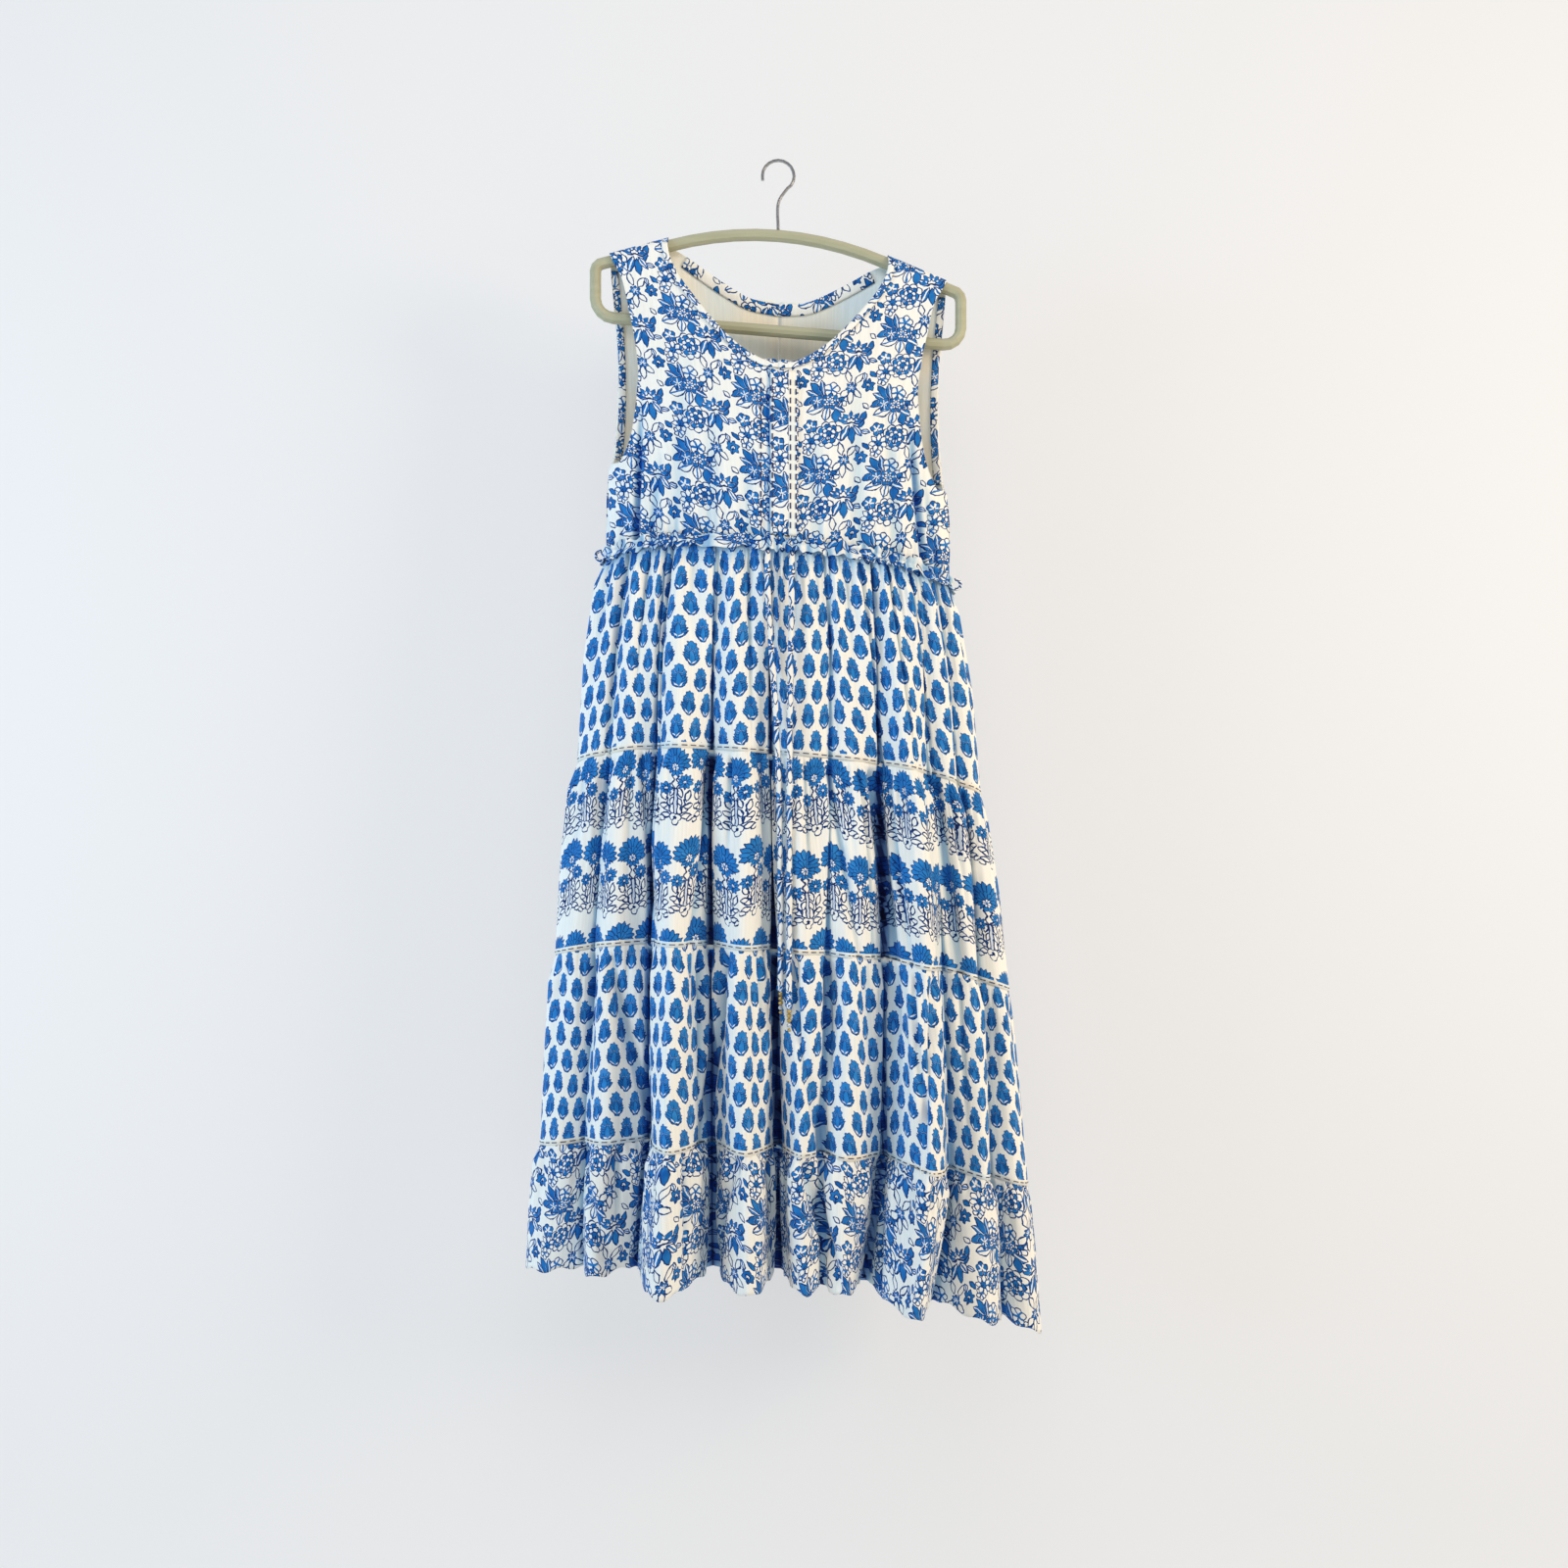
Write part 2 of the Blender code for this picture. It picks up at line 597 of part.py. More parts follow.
def build_hanger(dress):
    """One closed tube: two arms, rounded ends and the bar, with a wire hook over its middle."""
    under_cloth = (CLOTH + TRIM_GAP + TUBE_RADIUS) * math.hypot(1.0, SHOULDER_SLOPE + LEAN)
    arm_x = np.linspace(0.0, HANGER_REACH - UPPER_BEND, 9)
    arm = np.column_stack([arm_x, np.zeros(9), shoulder_z(arm_x) - under_cloth])
    elbow = arc(HANGER_REACH - UPPER_BEND, arm[-1, 2] - UPPER_BEND, UPPER_BEND, 60, 0, 3)
    heel = arc(HANGER_REACH - LOWER_BEND, BAR_Z + LOWER_BEND, LOWER_BEND, 0, -90, 5)
    bar_x = np.array([0.14, 0.08, 0.0])
    bar = np.column_stack([bar_x, np.zeros(3), np.full(3, BAR_Z)])
    half = np.vstack([arm[:-1], elbow, heel, bar])
    mirrored = half[-2:0:-1] * (-1, 1, 1)
    loop = leaned(np.vstack([half, mirrored]))
    tube("hanger_frame", loop, TUBE_RADIUS, 3, True, "painted_tube", dress)

    foot_z = arm[0, 2] + TUBE_RADIUS + SEAM_GAP
    stem = [(0.0, 0.0, foot_z), (0.0, 0.0, HOOK_STRAIGHT_TOP)]
    crook = arc(0.0, -HOOK_INNER_RADIUS, HOOK_INNER_RADIUS + HOOK_WIRE, HOOK_FROM, HOOK_TO, 9)
    route = smooth_route(np.vstack([stem, crook]), 24)
    tube("hanger_hook", route, HOOK_WIRE, 2, False, "hook_wire", dress)


# Ties

def bead_string(name, top, dress):
    """The beads below a tie, as one profile turned about their thread."""
    spots = []
    for bead in range(BEADS):
        centre = -BEAD_RADIUS - bead * BEAD_PITCH
        for ring in BEAD_RINGS:
            turn = math.radians(ring)
            spots.append((BEAD_RADIUS * math.cos(turn), centre + BEAD_RADIUS * math.sin(turn)))
    spots = [(0.0, spots[0][1]), *spots, (0.0, spots[-1][1])]
    profile = bmesh.new()
    verts = [profile.verts.new((x, 0.0, z)) for x, z in spots]
    for first, second in zip(verts, verts[1:]):
        profile.edges.new((first, second))
    mesh = bpy.data.meshes.new(name)
    profile.to_mesh(mesh)
    profile.free()
    mesh.shade_smooth()
    beads = add_object(name, mesh, "gold_bead", dress)
    beads.location = top
    screw = beads.modifiers.new("turned", "SCREW")
    screw.steps = screw.render_steps = 8
    screw.use_merge_vertices = True
    screw.merge_threshold = 0.00005


def build_ties(dress):
    """Two cloth cords that hang free, with beads below each."""
    for word, route in (("left", LEFT_TIE_ROUTE), ("right", RIGHT_TIE_ROUTE)):
        points = smooth_route(route, TIE_POINTS)
        tube(f"tie_{word}", points, TIE_RADIUS, 2, False, "floral_print", dress)
        bead_string(f"tie_beads_{word}", points[-1] - (0.0, 0.0, SEAM_GAP), dress)


def main():
    clear_scene()
    dress = bpy.data.collections.new("tiered_dress")
    bpy.context.scene.collection.children.link(dress)
    make_finishes()
    build_bodice(dress)
    build_placket(dress)
    build_frill(dress)
    build_skirt(dress)
    build_ties(dress)
    build_hanger(dress)


main()
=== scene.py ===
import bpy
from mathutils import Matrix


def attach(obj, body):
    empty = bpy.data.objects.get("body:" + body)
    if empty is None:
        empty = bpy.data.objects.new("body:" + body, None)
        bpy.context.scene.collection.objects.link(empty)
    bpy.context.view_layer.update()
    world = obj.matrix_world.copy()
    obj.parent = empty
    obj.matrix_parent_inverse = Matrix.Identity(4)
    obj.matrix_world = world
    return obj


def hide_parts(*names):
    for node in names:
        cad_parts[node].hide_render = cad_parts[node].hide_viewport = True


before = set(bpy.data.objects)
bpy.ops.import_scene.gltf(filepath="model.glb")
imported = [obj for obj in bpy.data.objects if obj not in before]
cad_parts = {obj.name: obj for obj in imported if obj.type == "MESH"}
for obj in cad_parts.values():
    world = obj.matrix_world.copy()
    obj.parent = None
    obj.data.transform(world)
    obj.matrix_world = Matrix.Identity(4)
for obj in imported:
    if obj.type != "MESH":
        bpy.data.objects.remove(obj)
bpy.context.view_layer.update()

import math
from collections import namedtuple
from functools import partial

import bmesh
import bpy
import numpy as np
from mathutils import Vector

# Camera
# A level view of the dress's front from 1.6 m, as high as the middle of the dress, in the way that
# a garment is photographed for a catalogue.
scene = bpy.context.scene
camera = bpy.data.objects.new("camera", bpy.data.cameras.new("camera"))
camera.location = (0.0066, -1.6, -0.698)
camera.rotation_euler = (math.pi / 2, 0.0, 0.0)
camera.data.lens = 32.727
scene.collection.objects.link(camera)
scene.camera = camera

# Block prints
# Cream cotton voile printed by hand with carved wooden blocks: one block lays the mid-blue fill
# and a finer one the navy outline. The print follows the flat cloth, so each piece has a UV map of
# its flat cut in metres, and a block's marks are listed in millimetres with +y up the cloth.
def linear(text):
    """A colour from its sRGB hex, as the shader wants it."""
    parts = [int(text[i : i + 2], 16) / 255.0 for i in (1, 3, 5)]
    return (*[p / 12.92 if p <= 0.04045 else ((p + 0.055) / 1.055) ** 2.4 for p in parts], 1.0)


def add(tree, kind, *values, **settings):
    """One node, its kind followed by its operation where it has one. Values or other nodes'
    sockets feed its inputs in order, or by name from a dict. Gives the node's first output."""
    kind, _, operation = kind.partition(" ")
    node = tree.nodes.new(kind if kind.startswith("Node") else f"ShaderNode{kind}")
    if operation:
        node.operation = operation
    for key, value in settings.items():
        setattr(node, key, value)
    by_name = values and isinstance(values[0], dict)
    for key, value in (values[0] if by_name else dict(enumerate(values))).items():
        if isinstance(value, bpy.types.NodeSocket):
            tree.links.new(value, node.inputs[key])
        else:
            node.inputs[key].default_value = value
    return node.outputs[0] if node.outputs else node


def new_material(name, values):
    """A material with these values on its shader. Gives its nodes and its shader as well."""
    material = bpy.data.materials.new(name)
    material.use_nodes = True
    shader = material.node_tree.nodes["Principled BSDF"]
    for key, value in values.items():
        shader.inputs[key].default_value = value
    return material, material.node_tree, shader


def new_group(name, inputs, outputs):
    """An empty node group and the sockets that its inputs give inside it."""
    tree = bpy.data.node_groups.new(name, "ShaderNodeTree")
    kinds = {"Place": "NodeSocketVector", "Color": "NodeSocketColor"}
    for way, labels in (("INPUT", inputs), ("OUTPUT", outputs)):
        for label in labels.split():
            kind = kinds.get(label, "NodeSocketFloat")
            tree.interface.new_socket(name=label, in_out=way, socket_type=kind)
    node = tree.nodes.new("NodeGroupInput")
    return tree, [node.outputs[label] for label in inputs.split()]


def bloom_block():
    """A flower about its middle: how far a place lies outside its petals, and off their seams."""
    tree, (place, pitch, reach, dip, tip, turn, fan) = new_group(
        "bloom", "Place Pitch Reach Dip Tip Turn Fan", "Edge Vein")
    apart = add(tree, "SeparateXYZ", place).node.outputs
    radius = add(tree, "VectorMath LENGTH", place).node.outputs[1]
    angle = add(tree, "Math ARCTAN2", apart[0], apart[1])
    angle = add(tree, "Math SUBTRACT", angle, turn)
    angle = add(tree, "Math WRAP", angle, math.pi, -math.pi)
    petal = add(tree, "Math MULTIPLY", angle, pitch)
    petal = add(tree, "Math PINGPONG", petal, 0.5)
    dipped = add(tree, "Math MULTIPLY", petal, 2.0)
    dipped = add(tree, "Math POWER", dipped, tip)
    outline = add(tree, "Math MULTIPLY_ADD", dipped, dip, reach)
    edge = add(tree, "Math SUBTRACT", radius, outline)
    beside = add(tree, "Math ABSOLUTE", angle)
    beside = add(tree, "Math SUBTRACT", beside, fan)
    beside = add(tree, "Math MULTIPLY", beside, radius)
    edge = add(tree, "Math MAXIMUM", edge, beside)
    vein = add(tree, "Math SUBTRACT", 0.5, petal)
    vein = add(tree, "Math MULTIPLY", vein, radius)
    vein = add(tree, "Math DIVIDE", vein, pitch)
    add(tree, "NodeGroupOutput", {"Edge": edge, "Vein": vein})
    return tree


def leaf_block():
    """A lens-shaped leaf from its foot to its tip, with a vein down its middle."""
    tree, (place, turn, reach, breadth) = new_group(
        "leaf", "Place Turn Reach Breadth", "Edge Vein")
    place = add(tree, "VectorRotate", {"Vector": place, "Angle": turn}, rotation_type="Z_AXIS")
    apart = add(tree, "SeparateXYZ", place).node.outputs
    along = add(tree, "Math DIVIDE", apart[1], reach)
    along = add(tree, "Math MULTIPLY_ADD", along, 2.0, -1.0)
    along = add(tree, "Math MULTIPLY", along, along)
    along = add(tree, "Math SUBTRACT", 1.0, along)
    half = add(tree, "Math MULTIPLY", along, breadth)
    vein = add(tree, "Math ABSOLUTE", apart[0])
    edge = add(tree, "Math SUBTRACT", vein, half)
    add(tree, "NodeGroupOutput", {"Edge": edge, "Vein": vein})
    return tree


def stalk_block():
    """A stalk from its foot up, straight or waving."""
    tree, (place, turn, reach, breadth, wave, rate) = new_group(
        "stalk", "Place Turn Reach Breadth Wave Rate", "Edge Vein")
    place = add(tree, "VectorRotate", {"Vector": place, "Angle": turn}, rotation_type="Z_AXIS")
    apart = add(tree, "SeparateXYZ", place).node.outputs
    waving = add(tree, "Math MULTIPLY", apart[1], rate)
    waving = add(tree, "Math SINE", waving)
    beside = add(tree, "Math MULTIPLY_ADD", waving, wave, apart[0])
    vein = add(tree, "Math ABSOLUTE", beside)
    edge = add(tree, "Math SUBTRACT", vein, breadth)
    half = add(tree, "Math MULTIPLY", reach, 0.5)
    end = add(tree, "Math SUBTRACT", apart[1], half)
    end = add(tree, "Math ABSOLUTE", end)
    end = add(tree, "Math SUBTRACT", end, half)
    edge = add(tree, "Math MAXIMUM", edge, end)
    add(tree, "NodeGroupOutput", {"Edge": edge, "Vein": vein})
    return tree


BLOCKS = {"bloom": bloom_block(), "leaf": leaf_block(), "stalk": stalk_block()}

# One mark of a block: where its middle or foot is, how far it is turned clockwise, its reach and
# half breadth, for a bloom its petals, how deep they part, how blunt they are and over what half
# angle they stand, the ink inside it (0 bare cloth, 0.5 blue, 1 navy), its outline's half width,
# the half width of the lines along its veins and their ink, if it isn't blue on bare cloth or bare
# on blue, a stalk's wave, and how much bare cloth is carved away round it. A twin mark is printed
# on both sides.
Mark = namedtuple(
    "Mark",
    "shape x y turn reach breadth petals notch tip fan ink line vein vein_ink wave gap twin",
    defaults=(1.5, 5, 0.3, 1.5, 180.0, 0.5, 0.60, 0.0, None, 0.0, 0.0, False))
NO_LINE = -1.0
leaf = partial(Mark, "leaf")
stalk = partial(Mark, "stalk")


def bloom(x, y, turn, reach, petals=5, notch=0.3, tip=1.5, **more):
    return Mark("bloom", x, y, turn, reach, petals=petals, notch=notch, tip=tip, **more)


BUTI_MARKS = [
    *(leaf(*row, line=0.35, gap=0.15, twin=True) for row in (
        (0.2, -14.2, 30.0, 8.0, 1.4), (0.6, -12.0, 46.0, 9.2, 1.5), (0.8, -9.5, 50.0, 9.6, 1.6),
        (1.0, -6.5, 48.0, 8.8, 1.6), (1.2, -3.2, 46.0, 7.2, 1.5), (1.6, 0.0, 50.0, 5.4, 1.4))),
    leaf(0.0, -14.2, 0.0, 18.0, 2.7, ink=0.45, line=0.3),
    leaf(0.4, -11.5, 45.0, 5.5, 0.6, ink=0.0, line=NO_LINE, twin=True),
    bloom(3.4, 4.4, 65.0, 3.4, 5, 0.30, 1.2, ink=0.45, line=0.3, gap=0.4, twin=True),
    bloom(0.0, 8.0, 0.0, 5.0, 7, 0.28, 1.2, ink=0.45, line=0.3, gap=0.5),
]

PLANT_MARKS = [
    stalk(2.6, -35.0, 24.0, 31.0, 0.35, ink=1.0, line=0.6, wave=1.5, twin=True),
    *(leaf(*row, ink=0.0, line=0.75, gap=0.3, twin=True) for row in (
        (5.5, -34.0, 84.0, 11.0, 2.9), (7.0, -29.5, 40.0, 11.5, 2.9), (9.5, -23.5, 84.0, 8.5, 2.7),
        (11.5, -17.5, 16.0, 11.0, 2.9), (6.5, -13.5, -14.0, 11.0, 2.7),
        (6.0, -22.5, -20.0, 9.5, 2.5), (12.0, -38.5, 62.0, 8.0, 2.5))),
    stalk(0.0, -36.0, 0.0, 32.0, 1.9, ink=0.12, line=0.65, gap=0.5),
    stalk(2.8, -6.0, 0.0, 30.0, 0.4, ink=1.0, line=0.6, wave=1.4, twin=True),
    bloom(0.0, -36.4, 60.0, 6.9, 3, 0.42, 2.0, ink=0.0, line=0.6, gap=0.5),
    bloom(0.0, -35.4, 0.0, 1.4, ink=1.0),
    bloom(-11.0, -4.5, 0.0, 7.2, 8, 0.36, 1.3, ink=0.45, line=0.5, vein=0.42, vein_ink=0.95,
          gap=0.6),
    bloom(10.4, 3.0, 8.0, 8.2, 10, 0.32, 1.1, ink=0.45, line=0.5, vein=0.36, vein_ink=0.95,
          gap=0.6),
    bloom(10.4, 3.0, 0.0, 2.0, 6, ink=0.0, line=0.3),
    bloom(-11.0, -4.5, 0.0, 1.8, 5, ink=0.0, line=0.3),
    bloom(0.0, 24.0, 0.0, 18.4, 17, 0.20, 1.1, fan=118.0, ink=0.46, line=0.6, vein=0.40,
          vein_ink=0.95, gap=0.8),
    bloom(0.0, 20.5, 0.0, 11.5, 13, 0.26, 1.2, ink=0.46, line=0.5, vein=0.38, vein_ink=0.95,
          gap=0.5),
    bloom(0.0, 19.0, 0.0, 4.8, 7, 0.34, 1.3, ink=0.0, line=0.5, vein=0.4),
]

FLORAL_MARKS = [
    leaf(1.0, -7.0, -112.0, 21.0, 5.0, ink=0.0, vein=0.9, gap=0.6),
    leaf(4.0, -8.0, 186.0, 16.0, 4.4, ink=0.0, vein=0.9, gap=0.6),
    leaf(-9.0, 2.5, -122.0, 16.0, 3.8, gap=0.8),
    leaf(-3.0, 3.0, -70.0, 19.0, 3.8, vein=0.5, gap=0.8),
    leaf(-3.0, 4.0, -42.0, 20.5, 3.9, gap=0.8),
    leaf(-1.0, 5.0, -14.0, 17.5, 3.6, vein=0.5, gap=0.8),
    bloom(6.5, 12.0, 10.0, 8.6, 5, 0.22, 1.6, ink=0.0, vein=1.1, gap=0.8),
    leaf(9.0, -7.0, 112.0, 15.0, 4.2, vein=0.8, gap=0.8),
    leaf(13.0, -10.0, 172.0, 15.0, 4.7, gap=0.8),
    bloom(18.0, 1.0, 20.0, 8.2, 6, 0.28, 1.4, ink=0.0, vein=0.9, gap=0.7),
    bloom(18.0, 1.0, 0.0, 3.4, 6, 0.3),
    bloom(-7.5, -2.0, 20.0, 8.2, 6, 0.34, 1.2, vein=0.5, gap=0.8),
    bloom(5.5, -1.5, 0.0, 9.6, 7, 0.30, 1.3, vein=0.8, gap=0.8),
    bloom(5.5, -1.5, 0.0, 5.0, 7, 0.3, ink=0.0, vein=0.6),
    leaf(-27.0, -11.0, 196.0, 13.0, 3.0, gap=0.5),
    leaf(-24.0, -8.0, -50.0, 9.0, 2.4, ink=0.0, gap=0.5),
    leaf(22.0, -46.0, 24.0, 10.0, 2.4, ink=0.0, gap=0.5),
    bloom(-12.0, 25.5, 20.0, 6.2, 5, 0.30, 1.3, ink=0.0, vein=0.8, gap=0.5),
    leaf(-19.0, 29.0, -52.0, 10.0, 2.5, gap=0.5),
    leaf(-32.0, -30.0, 20.0, 11.0, 2.8, gap=0.5),
    leaf(-30.0, -33.0, 100.0, 10.0, 2.5, ink=0.0, vein=0.7, gap=0.5),
    leaf(-33.0, 33.0, 160.0, 9.0, 2.4, ink=0.0, vein=0.6, gap=0.5),
    bloom(-27.0, 19.0, 12.0, 7.6, 6, 0.38, 1.0, gap=0.6),
    bloom(-27.0, 19.0, 12.0, 2.4, 6, ink=0.0),
    *(leaf(*row, ink=0.0, gap=0.5) for row in (
        (25.0, 21.0, -16.0, 14.0, 3.1), (30.5, 20.0, 34.0, 14.5, 3.1),
        (27.0, 12.0, 178.0, 15.5, 3.4), (29.5, 13.0, 130.0, 12.5, 3.2),
        (25.0, 13.0, 222.0, 12.5, 3.2))),
    bloom(27.5, 15.0, 0.0, 6.4, 7, 0.40, 1.2, vein=0.4, gap=0.6),
    bloom(8.5, -39.0, 15.0, 15.0, 9, 0.16, 2.2, ink=0.0, vein=0.8, gap=0.7),
    bloom(7.5, -38.5, 40.0, 11.0, 7, 0.20, 2.2, vein=1.2, gap=0.6),
    bloom(8.5, -38.0, 0.0, 7.4, 6, 0.26, 2.0, ink=0.0, vein=0.9, gap=0.4),
    bloom(8.5, -38.0, 0.0, 3.4, 5, 0.3),
    bloom(-9.5, -46.0, 0.0, 10.4, 7, 0.34, 1.0, ink=0.0, vein=0.9, gap=0.7),
    bloom(-9.5, -46.0, 30.0, 4.0, 6, 0.38),
    bloom(-12.0, -30.5, -20.0, 7.6, 5, 0.30, 1.6, vein=0.9, gap=0.6),
    leaf(29.0, -28.0, 202.0, 18.5, 3.7, vein=0.8, gap=0.7),
    leaf(32.0, -29.0, 172.0, 19.0, 3.6, gap=0.7),
    leaf(34.0, -27.0, 140.0, 15.5, 3.4, ink=0.0, vein=0.9, gap=0.7),
    leaf(29.0, -26.0, -62.0, 14.0, 3.0, vein=0.6, gap=0.7),
    leaf(33.5, -25.0, 66.0, 13.0, 3.0, ink=0.0, vein=0.8, gap=0.7),
    bloom(31.0, -24.5, -5.0, 13.5, 9, 0.44, 1.0, fan=100.0, vein=0.9, gap=0.7),
    bloom(31.0, -23.5, 0.0, 4.6, 5, 0.3, ink=0.0, fan=110.0),
]

CLOTH_CREAM = "#F2F0E7"
INK_AZURE = "#2B84CA"
INK_BLUE = "#105BA4"
INK_NAVY = "#15295C"
# The ink's edge fades over a third of a millimetre, and a stalk waves once in 9 mm.
EDGE_SHARPNESS = 3.0
STALK_WAVE = 9.0
BLEED = 2.8
AZURE_AT, BLUE_AT = 0.42, 0.53


def ink_edge(tree, distance, limit, way):
    """1 on one side of a limit and 0 on the other: past it if way is 1, within it if -1."""
    return add(tree, "Math MULTIPLY_ADD", distance, way * EDGE_SHARPNESS,
               0.5 - way * EDGE_SHARPNESS * limit, use_clamp=True)


def block_print(name, repeat, shift, marks, uneven=0.0):
    """A node group that prints the marks over and over, each row of repeats shifted along and
    each repeat up to uneven mm higher or lower than its neighbours."""
    tree, (place,) = new_group(name, "Place", "Color Ink")
    # The hand-held block wobbles and its edges bleed a little into the threads.
    bleed = add(tree, "TexNoise", {"Vector": place, "Scale": 0.16, "Detail": 2.0},
                noise_dimensions="2D").node.outputs["Color"]
    bleed = add(tree, "VectorMath SUBTRACT", bleed, (0.5, 0.5, 0.5))
    place = add(tree, "VectorMath MULTIPLY_ADD", bleed, (BLEED, BLEED, 0.0), place)
    size = (*repeat, 2.0)
    if shift:
        row = add(tree, "VectorMath DIVIDE", place, (1.0, repeat[1], 1.0))
        row = add(tree, "VectorMath ADD", row, (0.5, 0.5, 0.5))
        row = add(tree, "VectorMath FLOOR", row)
        row = add(tree, "SeparateXYZ", row).node.outputs[1]
        row = add(tree, "Math MULTIPLY", row, shift)
        row = add(tree, "CombineXYZ", row)
        place = add(tree, "VectorMath ADD", place, row)
    half = tuple(side / 2.0 for side in size)
    other_half = tuple(-side for side in half)
    cell = add(tree, "VectorMath WRAP", place, half, other_half)
    if uneven:
        which = add(tree, "VectorMath SUBTRACT", place, cell)
        which = add(tree, "VectorMath DIVIDE", which, size)
        which = add(tree, "VectorMath ADD", which, (0.5, 0.5, 0.5))
        which = add(tree, "VectorMath FLOOR", which)
        lift = add(tree, "TexWhiteNoise", {"Vector": which}, noise_dimensions="2D")
        lift = add(tree, "MapRange", {"Value": lift, "To Min": -uneven, "To Max": uneven})
        lift = add(tree, "CombineXYZ", {1: lift})
        cell = add(tree, "VectorMath ADD", cell, lift)
    twin = add(tree, "VectorMath MULTIPLY", cell, (-1.0, 1.0, 1.0))
    twin = add(tree, "VectorMath MAXIMUM", cell, twin)
    ink = 0.0
    for mark in marks:
        spot = add(tree, "VectorMath SUBTRACT", twin if mark.twin else cell, (mark.x, mark.y, 0.0))
        if not shift:
            spot = add(tree, "VectorMath WRAP", spot, half, other_half)
        facts = {"Place": spot, "Turn": math.radians(mark.turn), "Reach": mark.reach}
        if mark.shape == "bloom":
            facts |= {"Pitch": mark.petals / (2.0 * math.pi), "Dip": -mark.notch * mark.reach,
                      "Tip": mark.tip, "Fan": math.radians(mark.fan)}
        else:
            facts |= {"Breadth": mark.breadth}
        if mark.shape == "stalk":
            facts |= {"Wave": mark.wave, "Rate": 2.0 * math.pi / STALK_WAVE}
        edge = add(tree, "Group", facts, node_tree=BLOCKS[mark.shape])
        if mark.gap:
            carved = ink_edge(tree, edge, mark.gap, 1.0)
            ink = add(tree, "Math MULTIPLY", ink, carved)
        full = mark.ink
        if mark.vein:
            vein_ink = 0.5 - mark.ink if mark.vein_ink is None else mark.vein_ink
            beside = ink_edge(tree, edge.node.outputs["Vein"], mark.vein, 1.0)
            full = add(tree, "MapRange", {"Value": beside, "To Min": vein_ink, "To Max": mark.ink})
        ink = add(tree, "Mix", {0: ink_edge(tree, edge, 0.0, -1.0), 2: ink, 3: full},
                  data_type="FLOAT")
        if mark.line > 0.0:
            line = add(tree, "Math ABSOLUTE", edge)
            line = ink_edge(tree, line, mark.line, -1.0)
            ink = add(tree, "Math MAXIMUM", ink, line)
    patchy = add(tree, "TexNoise", {"Vector": place, "Scale": 0.07, "Detail": 3.0},
                 noise_dimensions="2D")
    patchy = add(tree, "MapRange",
                 {"Value": patchy, "From Min": 0.3, "From Max": 0.7, "To Min": 0.90, "To Max": 1.06})
    ink = add(tree, "Math MULTIPLY", ink, patchy)
    ramp = add(tree, "ValToRGB", ink)
    stops = ramp.node.color_ramp.elements
    stops[0].color = linear(CLOTH_CREAM)
    stops[1].color = linear(INK_NAVY)
    stops.new(AZURE_AT).color = linear(INK_AZURE)
    stops.new(BLUE_AT).color = linear(INK_BLUE)
    add(tree, "NodeGroupOutput", {"Color": ramp, "Ink": ink})
    return tree


PRINTS = {
    "floral": block_print("floral_block", (72.5, 82.0), 0.0, FLORAL_MARKS),
    "buti": block_print("buti_block", (22.5, 27.0), 11.25, BUTI_MARKS),
    "plant": block_print("plant_block", (36.5, 96.0), 18.25, PLANT_MARKS, 6.0),
}


MM = 1000.0
# The dobby dots' turn in radians a millimetre, their shade and their height beside the crinkle.
DOBBY_TURN, DOBBY_SHADE, DOBBY_HEIGHT = 2.6, 0.035, 0.05
REVERSE_STRENGTH = 0.35


